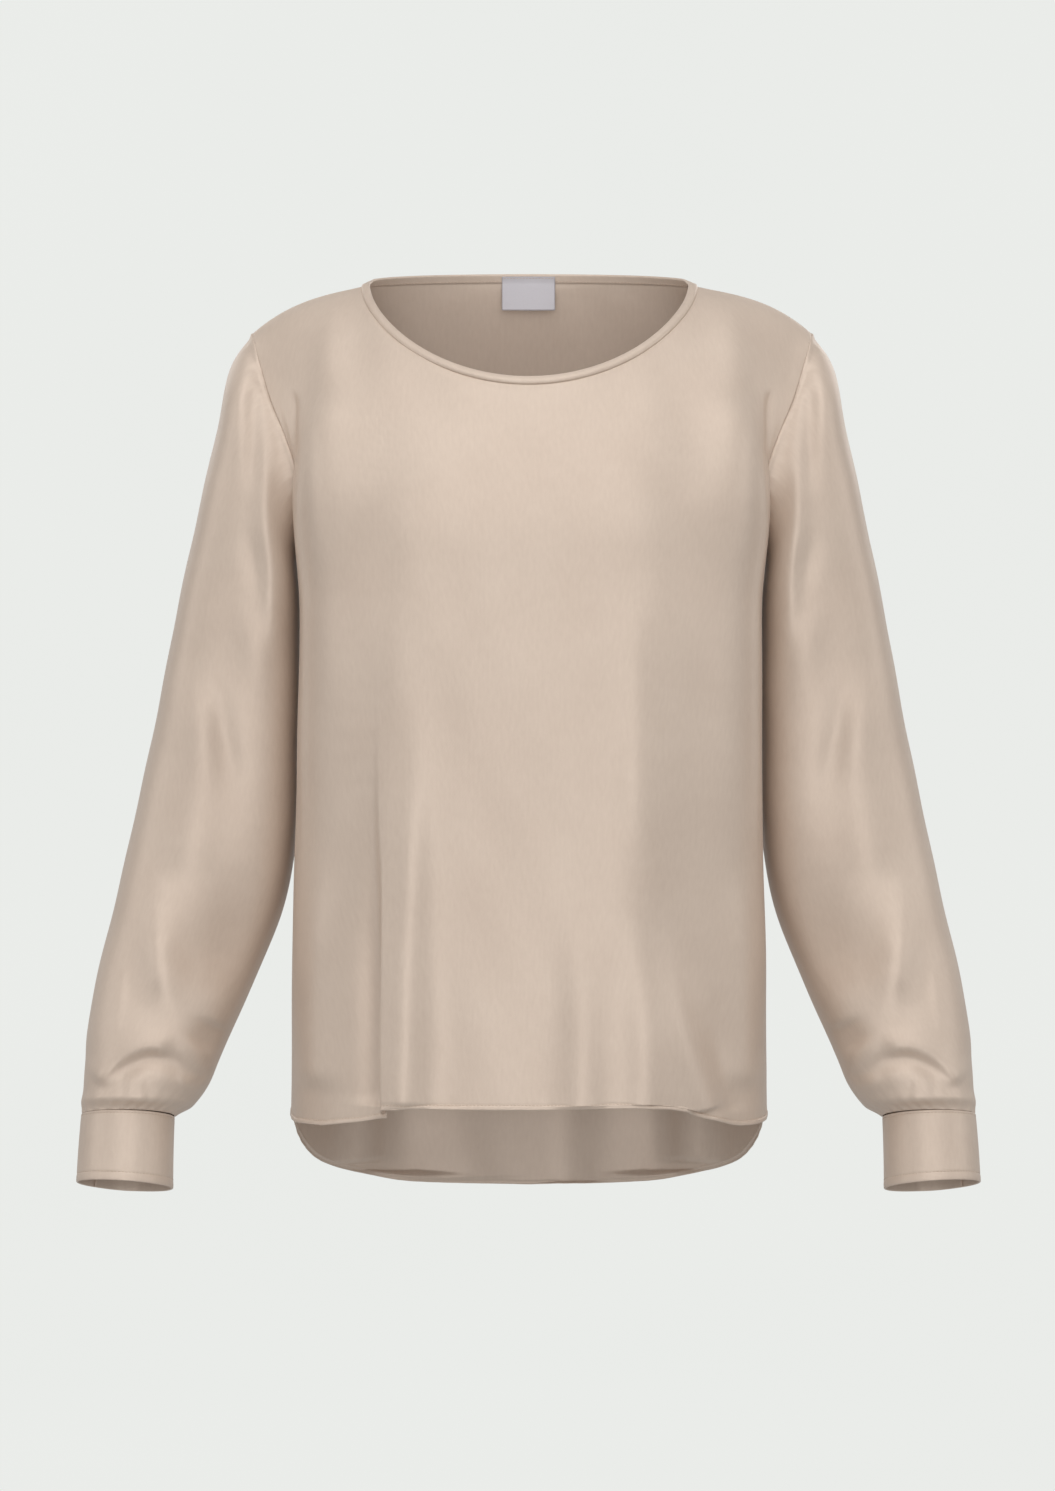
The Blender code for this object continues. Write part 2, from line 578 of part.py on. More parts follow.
def settled(points):
    """The points where they lie on the finished blouse, with its left shoulder a little wider."""
    start, end = LEFT_WIDER_X
    top, low = LEFT_WIDER_Z
    share = smooth((points[:, 0] - start) / (end - start)) * np.clip((points[:, 2] - low) / (top - low), 0, 1)
    return points + np.outer(LEFT_WIDER * share, (1.0, 0.0, 0.0))


def material(name, colour, roughness):
    made = bpy.data.materials.new(name)
    made.use_nodes = True
    shader = made.node_tree.nodes["Principled BSDF"]
    shader.inputs["Base Color"].default_value = (*colour, 1.0)
    shader.inputs["Roughness"].default_value = roughness
    return made


def add(collection, name, solid, surface, mirror=False):
    """One named object, with its normals outwards. mirror makes the right side's copy of a left piece."""
    points, faces = solid
    points = settled(points * ((-1, 1, 1) if mirror else (1, 1, 1)))
    mesh = bpy.data.meshes.new(name)
    mesh.from_pydata(points.tolist(), [], [[int(corner) for corner in face] for face in faces])
    shape = bmesh.new()
    shape.from_mesh(mesh)
    bmesh.ops.recalc_face_normals(shape, faces=shape.faces)
    if shape.calc_volume(signed=True) < 0:
        bmesh.ops.reverse_faces(shape, faces=shape.faces)
    shape.to_mesh(mesh)
    shape.free()
    made = bpy.data.objects.new(name, mesh)
    made.data.materials.append(surface)
    collection.objects.link(made)


def main():
    clear_scene()
    collection = bpy.data.collections.new("blouse")
    bpy.context.scene.collection.children.link(collection)
    add(collection, "front", wall_solid(*panel_wall(-1), False), material("front_satin", (0.60, 0.50, 0.42), 0.45))
    add(collection, "back", wall_solid(*panel_wall(1), False), material("back_satin", (0.56, 0.47, 0.39), 0.45))
    add(collection, "neck_binding", ring_solid(binding_rings()), material("binding_satin", (0.62, 0.52, 0.44), 0.45))
    add(collection, "label", wall_solid(*label_wall(), False), material("label_ribbon", (0.60, 0.58, 0.60), 0.40))
    sleeve, cuff = wall_solid(*sleeve_wall(), True), wall_solid(*cuff_wall(), False)
    turn = CUFF_LAP_AT + math.radians(11)
    up = unit(cuff_ring(np.array(turn), 0.0) - cuff_ring(np.array(turn), 1.0))
    out = cuff_outward(np.array(turn))
    out = unit(out - up * np.dot(out, up))
    place = cuff_ring(np.array(turn), 0.5) + out * SEAM_GAP * 1.5
    button = button_solid(place, out, up)
    for word, mirror in (("left", False), ("right", True)):
        satin = material(f"sleeve_{word}_satin", (0.58, 0.48, 0.40), 0.45)
        add(collection, f"sleeve_{word}", sleeve, satin, mirror)
        add(collection, f"cuff_{word}", cuff, material(f"cuff_{word}_satin", (0.61, 0.51, 0.43), 0.45), mirror)
        plastic = material(f"cuff_button_{word}_plastic", (0.66, 0.58, 0.50), 0.25)
        add(collection, f"cuff_button_{word}", button, plastic, mirror)


main()
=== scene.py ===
"""A long-sleeved satin blouse with a wide bound neck and a high-low hem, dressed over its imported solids.

The cloth pieces are thin shells on the forms of their solids, with the folds and creases that hanging satin
takes. Metres, +Z up, the front faces -Y and the wearer's left is at +X.
"""

import json
import logging
import math
from collections.abc import Callable
from dataclasses import dataclass, replace
from enum import Enum
from typing import Any

import bpy
import numpy as np
from bpy.types import Material, Node, NodeSocket, NodeTree, Object
from mathutils import Matrix, Vector

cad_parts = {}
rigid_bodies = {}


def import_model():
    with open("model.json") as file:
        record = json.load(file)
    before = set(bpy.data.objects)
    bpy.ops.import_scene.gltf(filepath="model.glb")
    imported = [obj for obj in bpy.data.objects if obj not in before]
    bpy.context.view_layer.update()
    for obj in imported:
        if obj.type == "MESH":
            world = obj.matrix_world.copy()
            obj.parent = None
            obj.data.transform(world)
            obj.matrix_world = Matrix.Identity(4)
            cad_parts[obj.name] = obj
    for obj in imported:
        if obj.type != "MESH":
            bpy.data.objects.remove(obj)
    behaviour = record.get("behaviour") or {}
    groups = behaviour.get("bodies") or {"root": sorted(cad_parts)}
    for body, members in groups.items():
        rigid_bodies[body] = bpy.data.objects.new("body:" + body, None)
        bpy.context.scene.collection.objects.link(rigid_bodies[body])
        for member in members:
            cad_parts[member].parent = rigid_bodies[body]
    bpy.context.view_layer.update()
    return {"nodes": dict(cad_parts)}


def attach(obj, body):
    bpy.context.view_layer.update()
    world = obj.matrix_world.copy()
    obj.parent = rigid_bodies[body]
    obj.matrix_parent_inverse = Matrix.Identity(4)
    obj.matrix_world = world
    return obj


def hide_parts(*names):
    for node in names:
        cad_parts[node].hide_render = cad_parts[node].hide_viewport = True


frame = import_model()

Array = np.ndarray
Faces = list[tuple[int, ...]]
LOG = logging.getLogger("blouse")

# A wave texture repeats every pi / 10 / scale metres, so this over a repeat in millimetres is its scale.
BANDS_MM = 100 * math.pi


class Face(Enum):
    """The panel of the body, by the way it faces along Y."""

    FRONT = -1
    BACK = 1


class Hand(Enum):
    """The wearer's side, by its sign along X."""

    LEFT = 1
    RIGHT = -1


# ------------------------------------------------------------ curves
def named(columns: tuple[str, ...], rows: tuple[tuple[float, ...], ...]) -> dict[str, Array]:
    """A table as one array for each named column.

    Args:
        columns: the columns' names.
        rows: the table's rows.

    Returns:
        The values of each column, from the first row to the last.
    """
    return dict(zip(columns, np.array(rows, float).T))


def smooth(share: Array) -> Array:
    """0 to 1 with level ends."""
    share = np.clip(share, 0.0, 1.0)
    return share * share * (3 - 2 * share)


def bell(away: Array, width: float) -> Array:
    """A soft bump of height 1 and this half width."""
    return np.exp(-((away / width) ** 2))


def unit(vectors: Array) -> Array:
    """The vectors at length 1."""
    return vectors / np.maximum(np.linalg.norm(vectors, axis=-1, keepdims=True), 1e-12)


def hermite(share: Array, start: Array, start_way: Array, end: Array, end_way: Array) -> Array:
    """The cubic curve between two points.

    Args:
        share: how far along it, 0 to 1.
        start: its first point.
        start_way: how it leaves it.
        end: its last point.
        end_way: how it arrives there.

    Returns:
        The points.
    """
    return (
        (1 + 2 * share) * (1 - share) ** 2 * start
        + share * (1 - share) ** 2 * start_way
        + share**2 * (3 - 2 * share) * end
        + share**2 * (share - 1) * end_way
    )


def through(at: Array, knots: Array, values: Array, start_slope: Array | None = None) -> Array:
    """The smooth curve through values at knots.

    Args:
        at: where it is read.
        knots: rising places of the values.
        values: one value or point for each knot.
        start_slope: the slope at the first knot, where it isn't that of the first stretch.

    Returns:
        The curve's values at the places asked for.
    """
    slopes = np.gradient(values, knots, axis=0)
    if start_slope is not None:
        slopes[0] = start_slope
    index = np.clip(np.searchsorted(knots, at, side="right") - 1, 0, len(knots) - 2)
    span = knots[index + 1] - knots[index]
    share = (at - knots[index]) / span
    extra = (1,) * (values.ndim - 1)
    span, share = span.reshape(span.shape + extra), share.reshape(share.shape + extra)
    return hermite(share, values[index], span * slopes[index], values[index + 1], span * slopes[index + 1])


def clustered(count: int, low: float, high: float, places: tuple[tuple[float, float, float], ...]) -> Array:
    """Numbers from low to high that lie closer together at some places.

    Args:
        count: how many.
        low: the first.
        high: the last.
        places: for each, where it is, how much denser the numbers get there, and how wide it is.

    Returns:
        The numbers, rising.
    """
    fine = np.linspace(low, high, 4001)
    weight = np.ones(len(fine))
    for at, extra, spread in places:
        weight += extra * bell(fine - at, spread)
    summed = np.concatenate([[0], np.cumsum((weight[1:] + weight[:-1]) / 2)])
    return np.interp(np.linspace(0, 1, count), summed / summed[-1], fine)


# ------------------------------------------------------------ surfaces
@dataclass
class Surface:
    """The outer face of a piece of cloth, as a grid whose rows run down it and whose columns lie across.

    closed says that the columns close round it. middle is a point, or one for each row, that the face looks
    away from.
    """

    points: Array
    closed: bool
    middle: Array

    def normals(self) -> Array:
        """The ways out of the cloth, from the slopes of the grid.

        Returns:
            A vector of length 1 for each point.
        """
        down = np.gradient(self.points, axis=0)
        if self.closed:
            across = np.roll(self.points, -1, axis=1) - np.roll(self.points, 1, axis=1)
        else:
            across = np.gradient(self.points, axis=1)
        found = unit(np.cross(down, across))
        return found if np.sum(found * (self.points - self.middle)) > 0 else -found

    def down(self) -> Array:
        """How far each point lies from the top edge, along its column."""
        steps = np.linalg.norm(np.diff(self.points, axis=0), axis=-1)
        return np.concatenate([np.zeros((1, steps.shape[1])), np.cumsum(steps, axis=0)])

    def across(self) -> Array:
        """How far each point lies from the first column, along its row."""
        steps = np.linalg.norm(np.diff(self.points, axis=1), axis=-1)
        return np.concatenate([np.zeros((steps.shape[0], 1)), np.cumsum(steps, axis=1)], axis=1)

    def soften(self, passes: int, edge_rows: int = 8, edge_columns: int = 10) -> None:
        """Evens the grid out, less and less towards its edges, which stay.

        Args:
            passes: rounds of evening.
            edge_rows: rows over which it fades out at the top and bottom edges.
            edge_columns: columns over which it fades out at the sides.
        """
        rows, columns = self.points.shape[:2]
        place = np.arange(rows)
        share = smooth(np.minimum(place, rows - 1 - place) / edge_rows)[:, None, None]
        if not self.closed:
            place = np.arange(columns)
            share = share * smooth(np.minimum(place, columns - 1 - place) / edge_columns)[None, :, None]
        for _ in range(passes):
            before, after = np.roll(self.points, 1, axis=0), np.roll(self.points, -1, axis=0)
            self.points = self.points + share * (before - 2 * self.points + after) / 4
            before, after = np.roll(self.points, 1, axis=1), np.roll(self.points, -1, axis=1)
            self.points = self.points + share * (before - 2 * self.points + after) / 4

    def raise_by(self, height: Array) -> None:
        """Moves each point out of the cloth by its height."""
        self.points = self.points + self.normals() * height[..., None]

    def level_line(self, away: float, from_top: bool) -> tuple[Array, Array]:
        """A line at an even distance from the top or bottom edge.

        Args:
            away: that distance.
            from_top: whether the edge is the top one.

        Returns:
            The line's points and the ways out of the cloth there.
        """
        lengths, normals = self.down(), self.normals()
        points, ways = [], []
        for column in range(self.points.shape[1]):
            length = lengths[:, column]
            at = away if from_top else length[-1] - away
            points.append([np.interp(at, length, self.points[:, column, axis]) for axis in range(3)])
            ways.append([np.interp(at, length, normals[:, column, axis]) for axis in range(3)])
        return np.array(points), unit(np.array(ways))


@dataclass(frozen=True)
class Crease:
    """A soft ridge, or a trough where height is below 0, that the hanging cloth takes.

    path is its line as x and z, seen from the front. lean makes its side at the right of the line, going
    along it, steeper (over 0) or flatter. fade is the share of the line over which it comes and goes.
    """

    path: tuple[tuple[float, float], ...]
    height: float
    width: float
    lean: float = 0.0
    fade: tuple[float, float] = (0.3, 0.3)

    LINE_POINTS = 33

    def height_at(self, x: Array, z: Array) -> Array:
        """How far the crease stands out of the cloth.

        Args:
            x: places across the blouse.
            z: their heights.

        Returns:
            The height of the crease at each place, below 0 in a trough.
        """
        knots = np.array(self.path, float)
        along_knots = np.linspace(0, len(knots) - 1, self.LINE_POINTS)
        line = through(along_knots, np.arange(len(knots), dtype=float), knots)
        way = unit(np.gradient(line, axis=0))
        from_x, from_z = x[..., None] - line[:, 0], z[..., None] - line[:, 1]
        near = np.argmin(from_x**2 + from_z**2, axis=-1)
        dx, dz = x - line[near, 0], z - line[near, 1]
        along = dx * way[near, 0] + dz * way[near, 1]
        left = dz * way[near, 0] - dx * way[near, 1]
        step = np.linalg.norm(np.diff(line, axis=0), axis=1).mean()
        at = (near + along / step) / (len(line) - 1)
        past = np.maximum(np.abs(at - 0.5) - 0.5, 0) * step * (len(line) - 1)
        width = self.width * np.where(left < 0, 1 - self.lean, 1 + self.lean)
        grown = smooth(at / self.fade[0]) * smooth((1 - at) / self.fade[1])
        return self.height * grown * np.exp(-((left / width) ** 2) - (past / self.width) ** 2)

    def mirrored(self, scale: float = 1.0) -> "Crease":
        """The same crease on the other side of the body, its height scaled."""
        flipped = tuple((-x, z) for x, z in self.path)
        return replace(self, path=flipped, height=self.height * scale, lean=-self.lean)


@dataclass(frozen=True)
class Fold:
    """A soft vertical fold, which grows from start_z to its full height at full_z and runs on to the hem.

    at_start and at_hem are shares from the panel's centre to its side seam. steep draws its side at -X (over
    0) or at +X (below 0) in.
    """

    at_start: float
    at_hem: float
    start_z: float
    full_z: float
    height: float
    width: float
    steep: float = 0.0

    def height_at(self, share: Array, z: Array, half_girth: float, hem_z: float) -> Array:
        """How far the fold stands out of the body.

        Args:
            share: places across the panel.
            z: their heights.
            half_girth: length from the panel's centre to its side.
            hem_z: height at which the fold reaches at_hem.

        Returns:
            The heights of the fold there.
        """
        run = np.clip((self.start_z - z) / (self.start_z - hem_z), 0, 1)
        away = (share - self.at_start - (self.at_hem - self.at_start) * run) * half_girth
        narrow = np.where(away < 0, 1 - max(self.steep, 0), 1 + min(self.steep, 0))
        grown = smooth((self.start_z - z) / (self.start_z - self.full_z))
        return self.height * grown * np.exp(-((away / (self.width * narrow)) ** 2))


@dataclass(frozen=True)
class Pleat:
    """The front's sharp fold, where the cloth laps over itself: its place and how far it laps."""

    share: float = -0.377
    start_z: float = -0.330
    full_z: float = -0.570
    width: float = 0.0062
    lap: float = 0.0125
    step: float = 0.0046
    step_sharp: float = 1.6
    step_sunk: float = 0.2
    step_reach: float = 4.0
    sunk_reach: float = 5.0

    def amount(self, z: Array) -> Array:
        """How much of the pleat there is at a height, 0 to 1."""
        return smooth((self.start_z - z) / (self.start_z - self.full_z))

    def fold_over(self, surface: Surface, share: Array, half_girth: float) -> None:
        """Laps the cloth at the pleat.

        Args:
            surface: the panel, which is changed.
            share: places of its points across it.
            half_girth: length from the panel's centre to its side.
        """
        along = unit(np.gradient(surface.points, axis=1))
        out = surface.normals()
        turn = (share - self.share) * half_girth / self.width
        amount = self.amount(surface.points[..., 2])
        lap = -self.lap * turn * np.exp(-(turn**2)) * amount
        step = np.tanh(self.step_sharp * turn) * bell(turn, self.step_reach) - self.step_sunk
        rise = self.step * step * bell(turn, self.sunk_reach)
        surface.points = surface.points + along * lap[..., None] + out * (rise * amount)[..., None]


# ------------------------------------------------------------ the form
@dataclass(frozen=True)
class BodyForm:
    """The worn form of the body, from the same named sizes as its solids."""

    neck_half: float = 0.1218
    neck_front: tuple[float, float] = (-0.0850, -0.0787)
    neck_back: tuple[float, float] = (0.0640, 0.0090)
    neck_side_z: float = -0.0010
    neck_curve: float = 1.25
    neck_share: float = 0.62
    shoulder_half: float = 0.2018
    shoulder_slope: float = 0.20
    shoulder_round: float = 36.0
    underarm_z: float = -0.190
    corner_ease: float = 0.20
    corner_spread: float = 0.3
    corner_drop: float = 0.55
    armhole_reach: tuple[float, float] = (2.5, 3.5)
    edge_corner: tuple[float, float] = (0.80, 0.20)
    edge_fall: float = -0.38
    half_girth: float = 0.240
    seam_gap: float = 0.0003
    left_wider: float = 0.0055
    left_wider_x: tuple[float, float] = (0.095, 0.175)
    left_wider_z: tuple[float, float] = (-0.020, -0.520)
    probe: float = 1e-4

    EASE_STEPS = 4
    TORSO_COLUMNS = (
        "z", "half_width", "widest_y", "front_y", "back_y", "seam_y", "front_square", "back_square",
    )
    TORSO = (
        (-0.190, 0.1662, -0.030, -0.1200, 0.1120, 0.000, 0.08, 0.08),
        (-0.250, 0.1662, -0.030, -0.1270, 0.1110, 0.000, 0.08, 0.08),
        (-0.330, 0.1672, -0.026, -0.1240, 0.1060, 0.000, 0.08, 0.08),
        (-0.420, 0.1694, -0.018, -0.1200, 0.1040, 0.001, 0.06, 0.07),
        (-0.510, 0.1712, -0.009, -0.1200, 0.1060, 0.002, 0.05, 0.06),
        (-0.600, 0.1723, -0.002, -0.1220, 0.1090, 0.003, 0.04, 0.05),
        (-0.690, 0.1728, 0.000, -0.1240, 0.1110, 0.003, 0.04, 0.05),
    )
    HEM_COLUMNS = ("share", "right_z", "left_z", "back_z")
    HEM = (
        (0.000, -0.5922, -0.5922, -0.6680),
        (0.300, -0.5922, -0.5926, -0.6650),
        (0.366, -0.5926, -0.5940, -0.6638),
        (0.388, -0.5990, -0.5950, -0.6632),
        (0.480, -0.6025, -0.6010, -0.6592),
        (0.620, -0.6070, -0.6070, -0.6515),
        (0.780, -0.6075, -0.6075, -0.6380),
        (0.920, -0.6030, -0.6030, -0.6180),
        (1.000, -0.5990, -0.5990, -0.6020),
    )
    TOP_COLUMNS = ("share", "front_x", "front_y", "front_z", "back_x", "back_y", "back_z")
    TOP = (
        (0.00, 0.00, -0.45, -0.89, 0.00, 0.35, -0.94),
        (0.30, 0.26, -0.50, -0.78, 0.20, 0.46, -0.80),
        (0.50, 0.46, -0.58, -0.48, 0.40, 0.60, -0.50),
        (0.62, 0.46, -0.66, -0.14, 0.42, 0.68, -0.14),
        (0.80, 0.12, -0.85, -0.06, 0.12, 0.85, -0.06),
        (1.00, 0.02, -1.25, -0.16, 0.02, 1.15, -0.16),
    )
    ARMHOLE = (
        (0.1998, -0.0110, -0.0420, 0.2002, 0.0120, -0.0420),
        (0.1945, -0.0220, -0.0600, 0.1965, 0.0240, -0.0610),
        (0.1860, -0.0350, -0.0870, 0.1920, 0.0390, -0.0900),
        (0.1745, -0.0440, -0.1150, 0.1820, 0.0460, -0.1200),
        (0.1660, -0.0455, -0.1420, 0.1710, 0.0440, -0.1480),
        (0.1655, -0.0330, -0.1700, 0.1655, 0.0310, -0.1730),
    )

    def top_edge(self, face: Face, share: Array) -> Array:
        """Points of a panel's top edge: half the neckline, then the shoulder seam.

        Args:
            face: the panel.
            share: places from its centre (0) to the shoulder tip (1), below 0 on the wearer's right.

        Returns:
            The points.
        """
        across = np.abs(share)
        turn = np.clip(across / self.neck_share, 0, 1) * math.pi / 2
        depth, height = self.neck_front if face is Face.FRONT else self.neck_back
        level = np.maximum(np.cos(turn), 0.0)
        past = np.clip((across - self.neck_share) / (1 - self.neck_share), 0, 1)
        out = past * (self.shoulder_half - self.neck_half)
        x = self.neck_half * np.sin(turn) + out
        curve = self.neck_curve if face is Face.FRONT else 1.0
        z = self.neck_side_z + (height - self.neck_side_z) * level**curve
        z = z - self.shoulder_slope * out - self.shoulder_round * out**3
        return np.stack([np.where(share < 0, -x, x), depth * level, z], axis=-1)

    def body_point(self, face: Face, share: Array, height: Array) -> Array:
        """Points of the body below the underarm line.

        Args:
            face: the panel.
            share: places from its centre (0) to its side seam (1).
            height: the heights that they lie at.

        Returns:
            The points.
        """
        table = named(self.TORSO_COLUMNS, self.TORSO)
        row = {name: through(-height, -table["z"], table[name]) for name in self.TORSO_COLUMNS}
        behind = row["back_y"] - row["widest_y"]
        seam_turn = math.pi - np.arccos((row["seam_y"] - row["widest_y"]) / behind)
        across = np.abs(share)
        turn = across * seam_turn if face is Face.FRONT else math.pi - across * (math.pi - seam_turn)
        facing = np.cos(turn) > 0
        square = np.where(facing, row["front_square"], row["back_square"])
        depth = np.where(facing, row["widest_y"] - row["front_y"], behind)
        reach = (np.cos(turn) - square * np.cos(3 * turn)) / (1 - square)
        x = row["half_width"] * np.sin(turn)
        return np.stack([np.where(share < 0, -x, x), row["widest_y"] - depth * reach, height], axis=-1)

    def armhole(self, face: Face, down: Array) -> Array:
        """Points of the left armhole.

        Args:
            face: the panel.
            down: places from the shoulder tip (0) to the underarm (1).

        Returns:
            The points.
        """
        table = np.array(self.ARMHOLE)
        middle = table[:, :3] if face is Face.FRONT else table[:, 3:]
        tip = self.top_edge(face, np.array(1.0))
        underarm = self.body_point(face, np.array(1.0), np.array(self.underarm_z))
        points = np.concatenate([tip[None], middle, underarm[None]])
        knots = np.concatenate([[0.0], np.cumsum(np.linalg.norm(np.diff(points, axis=0), axis=1))])
        return through(down, knots / knots[-1], points)

    def eased_top(self, face: Face, share: Array) -> Array:
        """The top edge with its neck corner rounded off, which the cloth below it follows.

        Args:
            face: the panel.
            share: places across it.

        Returns:
            The points.
        """
        reach = self.corner_ease * smooth((1 - np.abs(share)) / self.corner_spread)
        total = np.zeros(share.shape + (3,))
        for step in range(-self.EASE_STEPS, self.EASE_STEPS + 1):
            weight = (self.EASE_STEPS + 1 - abs(step)) / (self.EASE_STEPS + 1) ** 2
            total += weight * self.top_edge(face, share + reach * step / self.EASE_STEPS)
        return total

    def yoke_point(self, face: Face, share: Array, down: Array) -> Array:
        """Points of a panel above the underarm line.

        Args:
            face: the panel.
            share: places across it.
            down: places from the top edge (0) to the underarm line (1).

        Returns:
            The points, before the armhole draws them in.
        """
        table = named(self.TOP_COLUMNS, self.TOP)
        word = "front" if face is Face.FRONT else "back"
        way = np.stack([through(np.abs(share), table["share"], table[f"{word}_{a}"]) for a in "xyz"], axis=-1)
        way[..., 0] = np.where(share < 0, -way[..., 0], way[..., 0])
        level = np.full(np.shape(share), self.underarm_z)
        top, chest = self.eased_top(face, share), self.body_point(face, share, level)
        below, above = (self.body_point(face, share, level + step) for step in (-self.probe, self.probe))
        length = np.linalg.norm(chest - top, axis=-1, keepdims=True)
        sharp = np.clip(1 - down / self.corner_drop, 0, 1)[..., None] ** 3
        corner = (self.top_edge(face, share) - top) * sharp
        return corner + hermite(down[..., None], top, way * length, chest, unit(below - above) * length)

    def hem_height(self, face: Face, share: Array) -> Array:
        """Heights of the hem.

        Args:
            face: the panel.
            share: places across it.

        Returns:
            The heights, which on the front differ a little from side to side.
        """
        table = named(self.HEM_COLUMNS, self.HEM)
        across = np.abs(share)
        if face is Face.BACK:
            return through(across, table["share"], table["back_z"])
        right = np.interp(across, table["share"], table["right_z"])
        left = through(across, table["share"], table["left_z"])
        return np.where(share < 0, right, left)

    def panel_point(self, face: Face, share: Array, down: Array) -> Array:
        """Points of a panel.

        Args:
            face: the panel.
            share: places from its centre (0) to its side (1), below 0 on the wearer's right.
            down: places from its top edge (0) over the underarm line (1) to the hem (2).

        Returns:
            The points.
        """
        share, down = np.broadcast_arrays(np.asarray(share, float), np.asarray(down, float))
        above = np.clip(down, 0, 1)
        edge = np.where(share < 0, -1.0, 1.0)
        seam = self.armhole(face, above)
        seam[..., 0] *= edge
        yoke = self.yoke_point(face, share, above)
        reach = np.maximum(np.abs(share), 1e-9) ** (self.armhole_reach[0] + self.armhole_reach[1] * above**4)
        yoke += (seam - self.yoke_point(face, edge, above)) * reach[..., None]
        below = np.clip(down - 1, 0, None)
        height = self.underarm_z + (self.hem_height(face, share) - self.underarm_z) * below
        return np.where((down < 1)[..., None], yoke, self.body_point(face, share, height))

    def neck_frames(self, face: Face, share: Array) -> tuple[Array, Array, Array]:
        """Frames along a panel's neckline.

        Args:
            face: the panel.
            share: places across it, within its neckline.

        Returns:
            The points of the edge, the way on past it and the way out of the cloth.
        """
        inside = np.clip(share, -self.neck_share + 2 * self.probe, self.neck_share - 2 * self.probe)
        before, after = (self.panel_point(face, inside + step, 0.0) for step in (-self.probe, self.probe))
        along = unit(after - before)
        start, length = self.edge_corner
        corner = smooth((np.abs(share) / self.neck_share - start) / length)[..., None]
        edge_way = np.stack([np.sign(share), 0 * share, self.edge_fall + 0 * share], axis=-1)
        past = unit(self.panel_point(face, inside, 0.0) - self.panel_point(face, inside, self.probe))
        past = unit(past * (1 - corner) - unit(edge_way) * corner)
        past = unit(past - np.sum(past * along, axis=-1, keepdims=True) * along)
        out = np.cross(along, past)
        return self.panel_point(face, share, 0.0), past, np.where(out[..., 2:] < 0, -out, out)

    def settled(self, points: Array) -> Array:
        """Moves points to where they lie on the worn blouse, with its left shoulder a little wider.

        Args:
            points: points of the even form.

        Returns:
            The moved points.
        """
        start, end = self.left_wider_x
        top, low = self.left_wider_z
        raised = np.clip((points[..., 2] - low) / (top - low), 0, 1)
        share = smooth((points[..., 0] - start) / (end - start)) * raised
        moved = points.copy()
        moved[..., 0] += self.left_wider * share
        return moved


# ------------------------------------------------------------ shaders
def linear(hex_colour: str) -> tuple[float, float, float, float]:
    """An sRGB hex colour as linear red, green, blue and alpha."""
    parts = [int(hex_colour[at : at + 2], 16) / 255 for at in (1, 3, 5)]
    return (*[p / 12.92 if p <= 0.04045 else ((p + 0.055) / 1.055) ** 2.4 for p in parts], 1.0)


def node(
    tree: NodeTree, kind: str, values: dict[str | int, Any] | None = None,
    links: dict[str | int, NodeSocket] | None = None, **settings: Any,
) -> Node:
    """Adds a node with its settings and links.

    Args:
        tree: where it goes.
        kind: its type.
        values: what its own sockets hold, by name or number.
        links: the sockets that feed it, by name or number.
        settings: its other settings.

    Returns:
        The node.
    """
    made = tree.nodes.new(kind)
    for name, value in settings.items():
        setattr(made, name, value)
    for key, value in (values or {}).items():
        made.inputs[key].default_value = value
    for key, source in (links or {}).items():
        tree.links.new(source, made.inputs[key])
    return made


def new_material(name: str) -> tuple[Material, NodeTree, Node]:
    """Starts a material.

    Args:
        name: its name.

    Returns:
        The material, its tree of nodes and its shader.
    """
    made = bpy.data.materials.new(name)
    made.use_nodes = True
    return made, made.node_tree, made.node_tree.nodes["Principled BSDF"]


